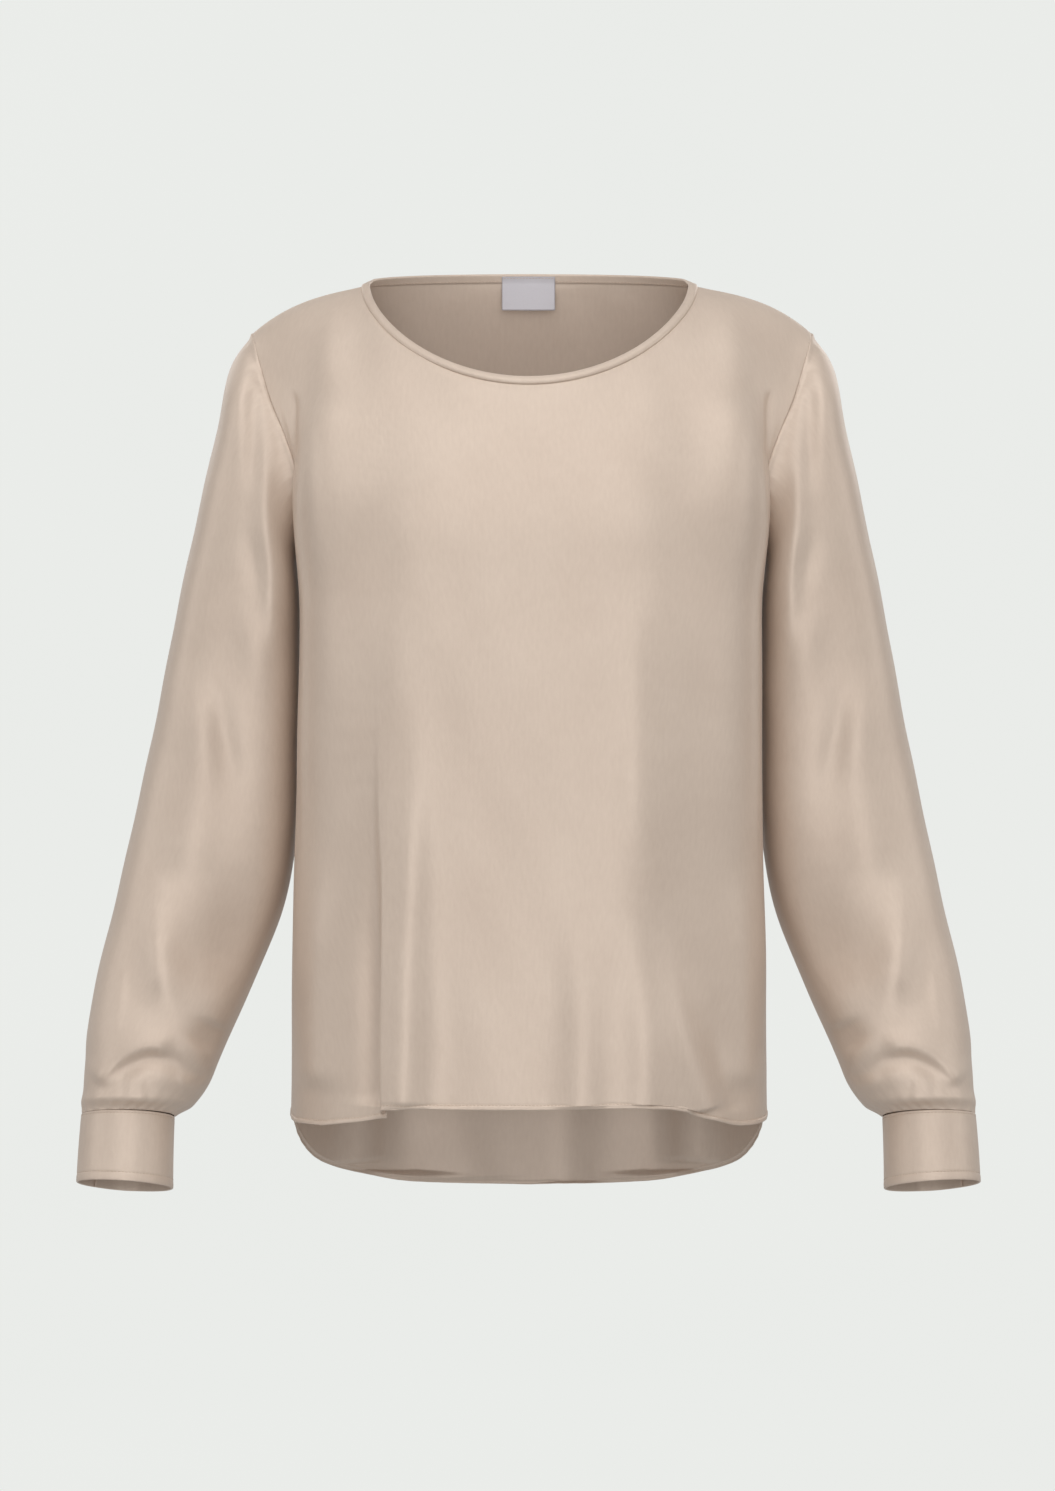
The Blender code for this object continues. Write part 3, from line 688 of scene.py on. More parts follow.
@dataclass(frozen=True)
class Satin:
    """Polyester crepe-back satin: long floats of fine bright yarn, so it is smooth with a soft broad gloss.

    The floats are 0.1 mm wide, too fine to show, so the weave is drawn with a thread of 0.9 mm, and very low.
    Light that the yarn throws back takes on the yarn's own colour, so a part of it is coloured as on metal.
    """

    name: str = "woven_satin"
    light: str = "#D4C2B2"
    deep: str = "#CBB8A8"
    lustre: float = 0.22
    roughness: float = 0.43
    sheen: float = 0.22
    thread_mm: float = 0.9
    slub_mm: float = 2.6
    float_squeeze: float = 0.3
    cloud_mm: float = 60.0

    def make(self) -> Material:
        """Makes the finish's nodes.

        Returns:
            The material.
        """
        made, tree, shader = new_material(self.name)
        place = node(tree, "ShaderNodeTexCoord")
        slub, weave = self.threads(tree, place)
        cloud = node(
            tree, "ShaderNodeTexNoise", {"Scale": 1000 / self.cloud_mm, "Detail": 2.0},
            {"Vector": place.outputs["Object"]},
        )
        # Dye takes unevenly along the yarn and across the cloth, which shows as a faint mottle.
        part = node(tree, "ShaderNodeMath", {1: 0.5}, {0: slub.outputs["Fac"]}, operation="MULTIPLY")
        tone = node(
            tree, "ShaderNodeMath", {1: 0.5}, {0: cloud.outputs["Fac"], 2: part.outputs[0]},
            operation="MULTIPLY_ADD",
        )
        ramp = node(tree, "ShaderNodeValToRGB", {}, {"Fac": tone.outputs[0]})
        low, high = ramp.color_ramp.elements
        low.position, low.color = 0.30, linear(self.deep)
        high.position, high.color = 0.70, linear(self.light)
        gloss = node(
            tree, "ShaderNodeMapRange", {"To Min": self.roughness - 0.03, "To Max": self.roughness + 0.03},
            {"Value": slub.outputs["Fac"]},
        )
        # The weave breaks the gloss up into a fine grain, which is what tells satin from plastic.
        grain = node(tree, "ShaderNodeBump", {"Strength": 0.10, "Distance": 0.0002}, {"Height": weave})
        tooth = node(
            tree, "ShaderNodeBump", {"Strength": 0.12, "Distance": 0.0004},
            {"Height": slub.outputs["Fac"], "Normal": grain.outputs["Normal"]},
        )
        tree.links.new(ramp.outputs["Color"], shader.inputs["Base Color"])
        tree.links.new(gloss.outputs["Result"], shader.inputs["Roughness"])
        tree.links.new(tooth.outputs["Normal"], shader.inputs["Normal"])
        shader.inputs["Metallic"].default_value = self.lustre
        shader.inputs["Specular IOR Level"].default_value = 0.4
        shader.inputs["Sheen Weight"].default_value = self.sheen
        shader.inputs["Sheen Roughness"].default_value = 0.5
        shader.inputs["Sheen Tint"].default_value = linear("#EBDCCF")
        return made

    def threads(self, tree: NodeTree, place: Node) -> tuple[Node, NodeSocket]:
        """Adds the nodes of the yarn.

        Args:
            tree: where they go.
            place: the node of the piece's own coordinates.

        Returns:
            The yarn's slubs, and the height of warp and weft.
        """
        warp, weft = (
            node(
                tree, "ShaderNodeTexWave",
                {"Scale": BANDS_MM / self.thread_mm, "Distortion": 1.2, "Detail": 2.0},
                {"Vector": place.outputs["UV"]}, bands_direction=way,
            )
            for way in "XY"
        )
        weave = node(
            tree, "ShaderNodeMath", {}, {0: warp.outputs["Fac"], 1: weft.outputs["Fac"]}, operation="ADD"
        )
        long_floats = node(
            tree, "ShaderNodeMapping", {"Scale": (1.0, self.float_squeeze, 1.0)},
            {"Vector": place.outputs["UV"]},
        )
        slub = node(
            tree, "ShaderNodeTexNoise", {"Scale": 1000 / self.slub_mm, "Detail": 3.0, "Roughness": 0.6},
            {"Vector": long_floats.outputs["Vector"]},
        )
        return slub, weave.outputs[0]


@dataclass(frozen=True)
class Ribbon:
    """Woven polyester ribbon for a label: fine crossways ribs and a denser, darker selvedge all round."""

    name: str = "woven_ribbon"
    light: str = "#CFCBD0"
    deep: str = "#B4AFB4"
    rib_mm: float = 0.8
    speck_mm: float = 1.11
    size: tuple[float, float] = (0.040, 0.025)
    edge: float = 0.0011

    def make(self) -> Material:
        """Makes the finish's nodes.

        Returns:
            The material.
        """
        made, tree, shader = new_material(self.name)
        place = node(tree, "ShaderNodeTexCoord")
        apart = node(tree, "ShaderNodeSeparateXYZ", {}, {"Vector": place.outputs["UV"]})
        side, end = (
            self.selvedge(tree, apart.outputs[axis], length) for axis, length in zip("XY", self.size)
        )
        rim = node(tree, "ShaderNodeMath", {}, {0: side, 1: end}, operation="MAXIMUM")
        rib = node(
            tree, "ShaderNodeTexWave", {"Scale": BANDS_MM / self.rib_mm, "Distortion": 0.6},
            {"Vector": place.outputs["UV"]}, bands_direction="Y",
        )
        speck = node(
            tree, "ShaderNodeTexNoise", {"Scale": 1000 / self.speck_mm, "Detail": 2.0},
            {"Vector": place.outputs["UV"]},
        )
        part = node(tree, "ShaderNodeMath", {1: 0.25}, {0: speck.outputs["Fac"]}, operation="MULTIPLY")
        tone = node(
            tree, "ShaderNodeMath", {1: 0.75}, {0: rim.outputs[0], 2: part.outputs[0]},
            operation="MULTIPLY_ADD",
        )
        ramp = node(tree, "ShaderNodeValToRGB", {}, {"Fac": tone.outputs[0]})
        low, high = ramp.color_ramp.elements
        low.position, low.color = 0.0, linear(self.light)
        high.position, high.color = 1.0, linear(self.deep)
        ribs = node(
            tree, "ShaderNodeBump", {"Strength": 0.2, "Distance": 0.0002}, {"Height": rib.outputs["Fac"]}
        )
        tree.links.new(ramp.outputs["Color"], shader.inputs["Base Color"])
        tree.links.new(ribs.outputs["Normal"], shader.inputs["Normal"])
        shader.inputs["Roughness"].default_value = 0.45
        shader.inputs["Sheen Weight"].default_value = 0.15
        return made

    def selvedge(self, tree: NodeTree, place: NodeSocket, length: float) -> NodeSocket:
        """Adds the nodes that tell the two dense edges which end the ribbon along one of its ways.

        Args:
            tree: where they go.
            place: how far a point lies along that way.
            length: the ribbon's length along it.

        Returns:
            1 at the edges and 0 between them.
        """
        off = node(tree, "ShaderNodeMath", {1: length / 2}, {0: place}, operation="SUBTRACT")
        away = node(tree, "ShaderNodeMath", {}, {0: off.outputs[0]}, operation="ABSOLUTE")
        edge = node(
            tree, "ShaderNodeMapRange",
            {"From Min": length / 2 - self.edge, "From Max": length / 2 - self.edge / 2},
            {"Value": away.outputs[0]},
        )
        return edge.outputs[0]


@dataclass(frozen=True)
class Thread:
    """Spun polyester sewing thread: two twisted plies, which give a fine slanting rib and a matt lustre."""

    name: str = "sewing_thread"
    # The thread is a shade darker than the satin. That is partly its own colour and partly painted shade
    # along the rows of stitches.
    light: str = "#CDB9A6"
    deep: str = "#B7A08B"
    ply_mm: float = 0.35

    def make(self) -> Material:
        """Makes the finish's nodes.

        Returns:
            The material.
        """
        made, tree, shader = new_material(self.name)
        place = node(tree, "ShaderNodeTexCoord")
        twist = node(
            tree, "ShaderNodeTexWave", {"Scale": BANDS_MM / self.ply_mm}, {"Vector": place.outputs["Object"]},
            bands_direction="DIAGONAL",
        )
        # The colour darkens where the bump is low, in the grooves between the plies: painted shade.
        ramp = node(tree, "ShaderNodeValToRGB", {}, {"Fac": twist.outputs["Fac"]})
        low, high = ramp.color_ramp.elements
        low.color, high.color = linear(self.deep), linear(self.light)
        bump = node(
            tree, "ShaderNodeBump", {"Strength": 0.3, "Distance": 0.0001}, {"Height": twist.outputs["Fac"]}
        )
        tree.links.new(ramp.outputs["Color"], shader.inputs["Base Color"])
        tree.links.new(bump.outputs["Normal"], shader.inputs["Normal"])
        shader.inputs["Roughness"].default_value = 0.6
        shader.inputs["Sheen Weight"].default_value = 0.2
        return made


@dataclass(frozen=True)
class PolyesterButton:
    """Cast polyester button: a turned and polished disc with a faint pearly cloud in it."""

    name: str = "cast_polyester"
    light: str = "#DCCBB9"
    deep: str = "#C4AF9B"
    cloud_mm: float = 3.0

    def make(self) -> Material:
        """Makes the finish's nodes.

        Returns:
            The material.
        """
        made, tree, shader = new_material(self.name)
        place = node(tree, "ShaderNodeTexCoord")
        cloud = node(
            tree, "ShaderNodeTexNoise", {"Scale": 1000 / self.cloud_mm, "Detail": 3.0, "Distortion": 1.5},
            {"Vector": place.outputs["Object"]},
        )
        ramp = node(tree, "ShaderNodeValToRGB", {}, {"Fac": cloud.outputs["Fac"]})
        low, high = ramp.color_ramp.elements
        low.position, low.color = 0.35, linear(self.deep)
        high.position, high.color = 0.65, linear(self.light)
        turned = node(
            tree, "ShaderNodeBump", {"Strength": 0.05, "Distance": 0.0001}, {"Height": cloud.outputs["Fac"]}
        )
        tree.links.new(ramp.outputs["Color"], shader.inputs["Base Color"])
        tree.links.new(turned.outputs["Normal"], shader.inputs["Normal"])
        shader.inputs["Roughness"].default_value = 0.22
        shader.inputs["IOR"].default_value = 1.54
        shader.inputs["Coat Weight"].default_value = 0.3
        return made


# ------------------------------------------------------------ meshes
def select_none() -> None:
    """Deselects every object, the solids of the frame included."""
    for thing in bpy.context.view_layer.objects:
        thing.select_set(False)


def select_only(thing: Object) -> None:
    """Makes one object the selected and active one.

    Args:
        thing: the object.
    """
    select_none()
    thing.select_set(True)
    bpy.context.view_layer.objects.active = thing


def mesh_object(name: str, points: Array, faces: Faces, surface: Material) -> Object:
    """Adds a smooth object to the scene.

    Args:
        name: its name.
        points: its corners.
        faces: the corners of each face.
        surface: its material.

    Returns:
        The object.
    """
    mesh = bpy.data.meshes.new(name)
    mesh.from_pydata(points.reshape(-1, 3).tolist(), [], faces)
    mesh.polygons.foreach_set("use_smooth", [True] * len(mesh.polygons))
    mesh.materials.append(surface)
    made = bpy.data.objects.new(name, mesh)
    bpy.context.scene.collection.objects.link(made)
    return made


def put_on(piece: Object, slot: str, *solids: str) -> None:
    """Puts a finished piece on the blouse.

    Args:
        piece: the piece.
        slot: the name of a material slot; not used.
        solids: the nodes that it stands for, if any.
    """
    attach(piece, "root")
    if solids:
        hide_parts(*solids)
    LOG.info("%s: %d faces", piece.name, len(piece.data.polygons))


def grid_faces(rows: int, columns: int, closed: bool, turned: bool) -> Faces:
    """The quads of a grid of points.

    Args:
        rows: how many rows of points it has.
        columns: how many columns.
        closed: whether the columns close round it.
        turned: whether each face is turned over.

    Returns:
        The corners of each quad.
    """
    index = np.arange(rows * columns).reshape(rows, columns)
    after = np.roll(index, -1, axis=1)
    if not closed:
        index, after = index[:, :-1], after[:, :-1]
    quads = np.stack([index[:-1], index[1:], after[1:], after[:-1]], axis=-1).reshape(-1, 4)
    return [tuple(quad) for quad in (quads[:, ::-1] if turned else quads).tolist()]


@dataclass
class Cloth:
    """A cut piece of cloth, as a thin shell under its outer face."""

    name: str
    surface: Surface
    finish: Material
    thickness: float = 0.0005

    def build(self, settle: Callable[[Array], Array]) -> Object:
        """Makes the shell, with the threads' directions as its UV map in metres.

        Args:
            settle: moves points to where they lie on the worn blouse.

        Returns:
            The piece.
        """
        rows, columns = self.surface.points.shape[:2]
        normals = self.surface.normals()
        down = self.surface.points[1, 0] - self.surface.points[0, 0]
        across = self.surface.points[0, 1] - self.surface.points[0, 0]
        turned = float(np.dot(np.cross(down, across), normals[0, 0])) < 0
        faces = grid_faces(rows, columns, self.surface.closed, turned)
        made = mesh_object(self.name, settle(self.surface.points), faces, self.finish)
        self.map_threads(made, columns)
        wall = made.modifiers.new("wall", "SOLIDIFY")
        wall.thickness, wall.offset, wall.use_even_offset = self.thickness, -1.0, False
        select_only(made)
        bpy.ops.object.modifier_apply(modifier=wall.name)
        made.data.polygons.foreach_set("use_smooth", [True] * len(made.data.polygons))
        return made

    def map_threads(self, made: Object, columns: int) -> None:
        """Writes the UV map: metres across the cloth and down it.

        Args:
            made: the cloth, before it gets its wall.
            columns: how many columns of points it has.
        """
        across, down = self.surface.across(), self.surface.down()
        across = across - across[:, columns // 2 : columns // 2 + 1]
        corners = np.empty(len(made.data.loops), np.int32)
        made.data.loops.foreach_get("vertex_index", corners)
        flat = np.stack([across.reshape(-1)[corners], down.reshape(-1)[corners]], axis=-1)
        if self.surface.closed:
            step = float(across[0, 1] - across[0, 0])
            quads, columns_of = flat.reshape(-1, 4, 2), (corners % columns).reshape(-1, 4)
            wraps = (columns_of.max(axis=1) - columns_of.min(axis=1)) > 1
            seam = wraps[:, None] & (columns_of == 0)
            quads[..., 0] = np.where(seam, quads[..., 0].max(axis=1, keepdims=True) + step, quads[..., 0])
            flat = quads.reshape(-1, 2)
        layer = made.data.uv_layers.new(name="threads")
        layer.data.foreach_set("uv", flat.astype(np.float32).reshape(-1))


@dataclass(frozen=True)
class StitchRow:
    """A row of machine stitches, each a short six-sided pad that is copied along the line."""

    length: float = 0.0019
    gap: float = 0.0007
    radius: float = 0.00020
    lift: float = 0.00006
    sides: int = 6

    # The rings of a stitch: how far along it each lies, how wide it is and how it is sunk, as shares.
    RINGS = ((-0.5, 0.35, -0.8), (-0.28, 1.0, 0.0), (0.28, 1.0, 0.0), (0.5, 0.35, -0.8))

    def build(self, name: str, points: Array, out: Array, finish: Material) -> Object:
        """Lays the stitches along a line.

        Args:
            name: the row's name.
            points: the line.
            out: the ways out of the cloth along it.
            finish: the thread.

        Returns:
            The row as one mesh.
        """
        reach = np.concatenate([[0], np.cumsum(np.linalg.norm(np.diff(points, axis=0), axis=1))])
        count = max(int(reach[-1] / (self.length + self.gap)), 1)
        middles = (np.arange(count) + 0.5) * reach[-1] / count
        turns = np.arange(self.sides) / self.sides * 2 * math.pi
        corners, faces = [], []
        for number, middle in enumerate(middles):
            at = middle + np.array([ring[0] for ring in self.RINGS]) * self.length
            centre = np.stack([np.interp(at, reach, points[:, axis]) for axis in range(3)], axis=-1)
            up = unit(np.stack([np.interp(at, reach, out[:, axis]) for axis in range(3)], axis=-1))
            way = unit(np.gradient(centre, axis=0))
            side = unit(np.cross(up, way))
            for index, (_, wide, sunk) in enumerate(self.RINGS):
                middle_point = centre[index] + up[index] * (self.lift + sunk * self.radius)
                wheel = np.cos(turns)[:, None] * side[index] + np.sin(turns)[:, None] * up[index]
                corners.append(middle_point + wheel * self.radius * wide)
            faces += self.stitch_faces(number * len(self.RINGS) * self.sides)
        return mesh_object(name, np.concatenate(corners), faces, finish)

    def stitch_faces(self, first: int) -> Faces:
        """The faces of one stitch.

        Args:
            first: the number of its first corner.

        Returns:
            The corners of each face: the sides between its rings, then its two ends.
        """
        faces = []
        for ring in range(len(self.RINGS) - 1):
            start = first + ring * self.sides
            for corner in range(self.sides):
                a, b = start + corner, start + (corner + 1) % self.sides
                faces.append((a, b, b + self.sides, a + self.sides))
        last = first + (len(self.RINGS) - 1) * self.sides
        faces.append(tuple(range(first, first + self.sides))[::-1])
        faces.append(tuple(range(last, last + self.sides)))
        return faces


# ------------------------------------------------------------ panels
@dataclass
class BodyPanel:
    """The front or the back of the body, from the neckline and shoulder seams to the hem."""

    form: BodyForm
    face: Face
    folds: tuple[Fold, ...]
    creases: tuple[Crease, ...]
    pleat: Pleat | None = None
    columns: int = 214
    rows: int = 205
    softening: int = 40
    seam_share: float = 0.04
    top_share: float = 0.06
    hem_turn: float = 0.0034
    hem_lift: float = 0.00045
    hem_groove: float = 0.00028
    hem_roll: float = 0.0003
    roll: float = 0.0002
    top_roll: float = 0.0004
    pucker: float = 0.00010
    pucker_pitch: float = 0.0105
    ripple: float = 0.00016
    ripple_pitch: float = 0.013
    ripple_drift: float = 0.09
    unevenness: float = 0.00022

    # A point in the body, which its panels face away from.
    CORE = (0.0, 0.0, -0.30)
    # The rows lie closer together at the top edge and the hem, and further apart over the chest.
    DENSE_ROWS = ((0.0, 5.0, 0.02), (0.35, -0.45, 0.55), (2.0, 9.0, 0.016))
    DENSE_SIDES = ((-1.0, 4.0, 0.02), (1.0, 4.0, 0.02), (-0.9, 1.6, 0.05), (0.9, 1.6, 0.05))
    DENSE_PLEAT = (5.0, 0.055)

    def surface(self) -> Surface:
        """The panel's outer face.

        Returns:
            The face, with all its folds, seams and its hem.
        """
        shares = clustered(self.columns, -1, 1, self.dense_columns())
        downs = clustered(self.rows, 0, 2, self.DENSE_ROWS)
        down, share = np.meshgrid(downs, shares, indexing="ij")
        made = Surface(self.form.panel_point(self.face, share, down), False, np.array(self.CORE))
        made.soften(self.softening)
        x, z = made.points[..., 0].copy(), made.points[..., 2].copy()
        hem_z = self.form.HEM[0][1]
        height = sum(fold.height_at(share, z, self.form.half_girth, hem_z) for fold in self.folds)
        # The folds run out close to the side seams.
        height = height * (1 - np.abs(share) ** 12)
        ends = smooth((1 - np.abs(share)) / self.seam_share) * smooth(down / self.top_share)
        height = height + sum(crease.height_at(x, z) for crease in self.creases) * ends
        height = height + self.uneven(x, z) * ends
        made.raise_by(height)
        if self.pleat:
            self.pleat.fold_over(made, share, self.form.half_girth)
        self.finish_edges(made, share)
        return made

    def dense_columns(self) -> tuple[tuple[float, float, float], ...]:
        """Where the columns lie closer together: at the side seams and the sharp pleat."""
        return self.DENSE_SIDES + (((self.pleat.share, *self.DENSE_PLEAT),) if self.pleat else ())

    def uneven(self, x: Array, z: Array) -> Array:
        """The slight waviness that keeps the satin's gloss from lying evenly."""
        waves = np.sin(61 * x + 17 * z + 0.6) + np.sin(-37 * x + 41 * z + 2.1) + np.sin(97 * x - 23 * z + 4.0)
        return self.unevenness * (waves + 0.6 * np.sin(143 * x + 61 * z + 1.1))

    def finish_edges(self, made: Surface, share: Array) -> None:
        """Rolls the cloth in at its seams and turns the hem up.

        Args:
            made: the panel, which is changed.
            share: places of its points across it.
        """
        across, down = made.across(), made.down()
        side = np.minimum(across, across[:, -1:] - across)
        to_hem = down[-1:] - down
        puckers = self.pucker * np.sin(down / self.pucker_pitch * 2 * math.pi) * bell(side - 0.004, 0.004)
        height = puckers - self.roll * bell(side, 0.0008) - self.top_roll * bell(down, 0.0012)
        turned = self.hem_lift * smooth((self.hem_turn - to_hem) / 0.0008)
        groove = self.hem_groove * bell(to_hem - self.hem_turn - 0.0002, 0.0006)
        drift = 3 * np.sin(across / self.ripple_drift)
        ripple = self.ripple * np.sin(across / self.ripple_pitch * 2 * math.pi + drift) * bell(to_hem, 0.010)
        made.raise_by(height + turned - groove + ripple - self.hem_roll * bell(to_hem, 0.0006))
        made.points[..., 1] += self.face.value * self.form.seam_gap * (np.abs(share) >= 1 - 1e-9)

    def build(self, finish: Material, thread: Material) -> None:
        """Makes the panel and the stitches of its hem.

        Args:
            finish: the satin.
            thread: the thread of the hem.
        """
        word = self.face.name.lower()
        surface = self.surface()
        piece = Cloth(f"{word}_satin", surface, finish).build(self.form.settled)
        line, out = surface.level_line(self.hem_turn + 0.0002, from_top=False)
        stitches = StitchRow().build(f"{word}_hem_stitches", self.form.settled(line), out, thread)
        put_on(piece, "satin", word)
        put_on(stitches, "satin")


# ------------------------------------------------------------ sleeves
@dataclass
class CuffForm:
    """The barrel cuff, whose ends overlap behind, and the ring that it sews on to."""

    thick: float = 0.0016
    height: float = 0.0497
    radius: float = 0.0335
    lap: float = math.radians(38)
    lap_at: float = math.radians(-82)
    step: float = math.radians(24)
    gap: float = 0.0003

    COLUMNS = ("centre_x", "centre_y", "centre_z", "half_width", "half_depth", "slope", "pitch")
    ROWS = (
        (0.2895, -0.0310, -0.6035, 0.0337, 0.0330, 0.02, 0.21),
        (0.2908, -0.0425, -0.6530, 0.0348, 0.0335, 0.06, 0.21),
    )

    def ring(self, turn: Array, drop: Array) -> Array:
        """Points of the left cuff's outer face.

        Args:
            turn: angles round the wrist.
            drop: places from the seam with the sleeve (0) to the lower edge (1).

        Returns:
            The points.
        """
        table = named(self.COLUMNS, self.ROWS)
        row = {name: table[name][0] + (table[name][1] - table[name][0]) * drop for name in self.COLUMNS}
        x, y = row["half_width"] * np.cos(turn), -row["half_depth"] * np.sin(turn)
        z = row["centre_z"] + row["slope"] * x - row["pitch"] * y
        return np.stack([row["centre_x"] + x, row["centre_y"] + y, z], axis=-1)

    def outward(self, turn: Array) -> Array:
        """The ways out of the cuff.

        Args:
            turn: angles round the wrist.

        Returns:
            A level vector of length 1 for each.
        """
        table = named(self.COLUMNS, self.ROWS)
        x, y = np.cos(turn) / table["half_width"][0], -np.sin(turn) / table["half_depth"][0]
        return unit(np.stack([x, y, 0 * x], axis=-1))


@dataclass
class Sleeve:
    """A full set-in sleeve, from the armhole to the cuff seam. It is drawn on the left and mirrored."""

    form: BodyForm
    cuff: CuffForm
    hand: Hand
    front_creases: tuple[Crease, ...]
    back_creases: tuple[Crease, ...]
    sides: int = 132
    rows: int = 200
    softening: int = 30
    allowance: float = 0.0012
    allowance_drop: float = 0.0009
    cap_rise: float = 0.0042
    cap_rise_deg: float = 36.0
    cap_rise_at: float = 0.026
    cap_rise_width: float = 0.024
    cap_swing: float = 1.05
    ends: float = 0.012
    ease: float = 0.00030
    gathers: float = 0.00055
    gathers_reach: float = 0.011
    unevenness: float = 0.00022

    COLUMNS = ("outer_x", "outer_z", "inner_x", "inner_z", "front_y", "back_y", "pitch", "square")
    ROWS = (
        (0.2150, -0.0627, 0.1690, -0.2010, -0.0490, 0.0590, 0.00, 0.05),
        (0.2290, -0.1124, 0.1685, -0.2160, -0.0480, 0.0700, 0.00, 0.07),
        (0.2428, -0.1708, 0.1675, -0.2400, -0.0440, 0.0780, 0.00, 0.08),
        (0.2558, -0.2292, 0.1668, -0.2740, -0.0380, 0.0820, 0.00, 0.08),
        (0.2710, -0.3022, 0.1670, -0.3320, -0.0340, 0.0840, 0.00, 0.08),
        (0.2870, -0.3790, 0.1695, -0.4050, -0.0340, 0.0790, 0.02, 0.07),
        (0.3013, -0.4440, 0.1822, -0.4640, -0.0400, 0.0680, 0.05, 0.06),
        (0.3140, -0.5000, 0.2025, -0.5130, -0.0510, 0.0540, 0.10, 0.05),
        (0.3207, -0.5420, 0.2190, -0.5500, -0.0620, 0.0370, 0.15, 0.04),
        (0.3223, -0.5740, 0.2300, -0.5790, -0.0680, 0.0220, 0.19, 0.03),
        (0.3228, -0.5920, 0.2420, -0.5930, -0.0670, 0.0110, 0.21, 0.01),
    )
    # Each bump: its angle round the sleeve, how far above the cuff it lies, its length in degrees, its width
    # and its height.
    BUMPS = (
        (84.0, 0.0085, 72.0, 0.0074, 0.0038),
        (70.0, 0.041, 50.0, 0.0090, -0.0012),
        (-95.0, 0.012, 70.0, 0.0100, 0.0045),
        (-80.0, 0.042, 60.0, 0.0100, -0.0028),
        (205.0, 0.440, 26.0, 0.0450, 0.0048),
    )

    def rings(self, turn: Array) -> Array:
        """The sleeve's sections: the armhole, the rows of the table and the cuff seam.

        Args:
            turn: the angle of each column, from the outer side over the front.

        Returns:
            The points of each section.
        """
        row = {name: values[:, None] for name, values in named(self.COLUMNS, self.ROWS).items()}
        square = row["square"]
        out = (np.cos(turn) - square * np.cos(3 * turn)) / (1 - square)
        front = (np.sin(turn) + square * np.sin(3 * turn)) / (1 - square)
        x = (row["outer_x"] + row["inner_x"]) / 2 + (row["outer_x"] - row["inner_x"]) / 2 * out
        z = (row["outer_z"] + row["inner_z"]) / 2 + (row["outer_z"] - row["inner_z"]) / 2 * out
        y = -(row["back_y"] - row["front_y"]) / 2 * front
        rings = np.stack([x, (row["front_y"] + row["back_y"]) / 2 + y, z - row["pitch"] * y], axis=-1)
        share = turn / math.pi
        front_cap = self.form.armhole(Face.FRONT, np.clip(share, 0, 1))
        back_cap = self.form.armhole(Face.BACK, np.clip(2 - share, 0, 1))
        cap = np.where((share <= 1)[:, None], front_cap, back_cap)
        under = smooth((0.55 - np.abs(share - 1)) / 0.25)[:, None]
        leave = unit(unit(rings[0] - cap) * (1 - under) + np.array([1.0, 0.0, 0.0]) * under)
        end = self.cuff.ring(turn, 0.0) + np.array([0.0, 0.0, self.form.seam_gap])
        return np.concatenate([(cap + leave * self.form.seam_gap * (1.2 + under))[None], rings, end[None]])

    def surface(self) -> Surface:
        """The left sleeve's outer face.

        Returns:
            The face, with its folds and seams.
        """
        turn = np.arange(self.sides) / self.sides * 2 * math.pi
        rings = self.rings(turn)
        last = float(len(rings) - 1)
        at = clustered(self.rows, 0.0, last, ((0.0, 3.0, 0.12), (last - 1.2, 1.4, 1.0), (last, 4.0, 0.15)))
        points = through(at, np.arange(len(rings), dtype=float), rings, self.cap_slope(rings, turn))
        made = Surface(points, True, points.mean(axis=1, keepdims=True))
        made.soften(self.softening)
        made.middle = made.points.mean(axis=1, keepdims=True)
        x, z = made.points[..., 0].copy(), made.points[..., 2].copy()
        above = np.linalg.norm(made.middle - made.middle[-1], axis=-1)
        self.raise_cap(made, turn)
        facing = made.normals()[..., 1]
        front, back = smooth(0.5 - facing * 2.5), smooth(0.5 + facing * 2.5)
        ends = smooth(above / self.ends) * smooth(made.down() / self.ends)
        # The creases stand out along Y, so they leave the outline as it is.
        made.points[..., 1] -= ends * front * sum(crease.height_at(x, z) for crease in self.front_creases)
        made.points[..., 1] += ends * back * sum(crease.height_at(x, z) for crease in self.back_creases)
        waves = np.sin(53 * x + 31 * z + 0.2) + np.sin(-71 * x + 29 * z + 1.7)
        waves += np.sin(89 * z + 3 * turn + 0.9)
        made.raise_by((self.bumps(turn[None], above) + self.unevenness * waves) * ends)
        self.finish_edges(made, turn)
        return made

    def raise_cap(self, made: Surface, turn: Array) -> None:
        """Rounds the sleeve's head up, just below the shoulder seam.

        Args:
            made: the sleeve, which is changed.
            turn: the angle of each column round it.
        """
        from_top = np.degrees(np.minimum(turn, 2 * math.pi - turn))[None]
        down = made.down()
        rise = self.cap_rise * bell(from_top, self.cap_rise_deg)
        rise = rise * bell(down - self.cap_rise_at, self.cap_rise_width)
        made.raise_by(rise * (0.35 + 0.65 * smooth(down / 0.010)))

    def cap_slope(self, rings: Array, turn: Array) -> Array:
        """How the sleeve leaves the armhole: at the shoulder it goes on the way the shoulder comes.

        Args:
            rings: the sleeve's sections.
            turn: the angle of each column round it.

        Returns:
            The slope of each column at its first section.
        """
        straight = rings[1] - rings[0]
        from_top = np.minimum(turn, 2 * math.pi - turn) / math.pi
        faces = ((turn <= math.pi, Face.FRONT), (turn > math.pi, Face.BACK))
        way = np.zeros_like(straight)
        for chosen, face in faces:
            down = np.clip(from_top, 0, 1)
            come = self.form.panel_point(face, 1.0, down) - self.form.panel_point(face, 0.96, down)
            way[chosen] = unit(come)[chosen]
        share = self.cap_swing * smooth((0.34 - from_top) / 0.30)[:, None]
        length = np.linalg.norm(straight, axis=1, keepdims=True)
        return straight * (1 - share) + way * length * share

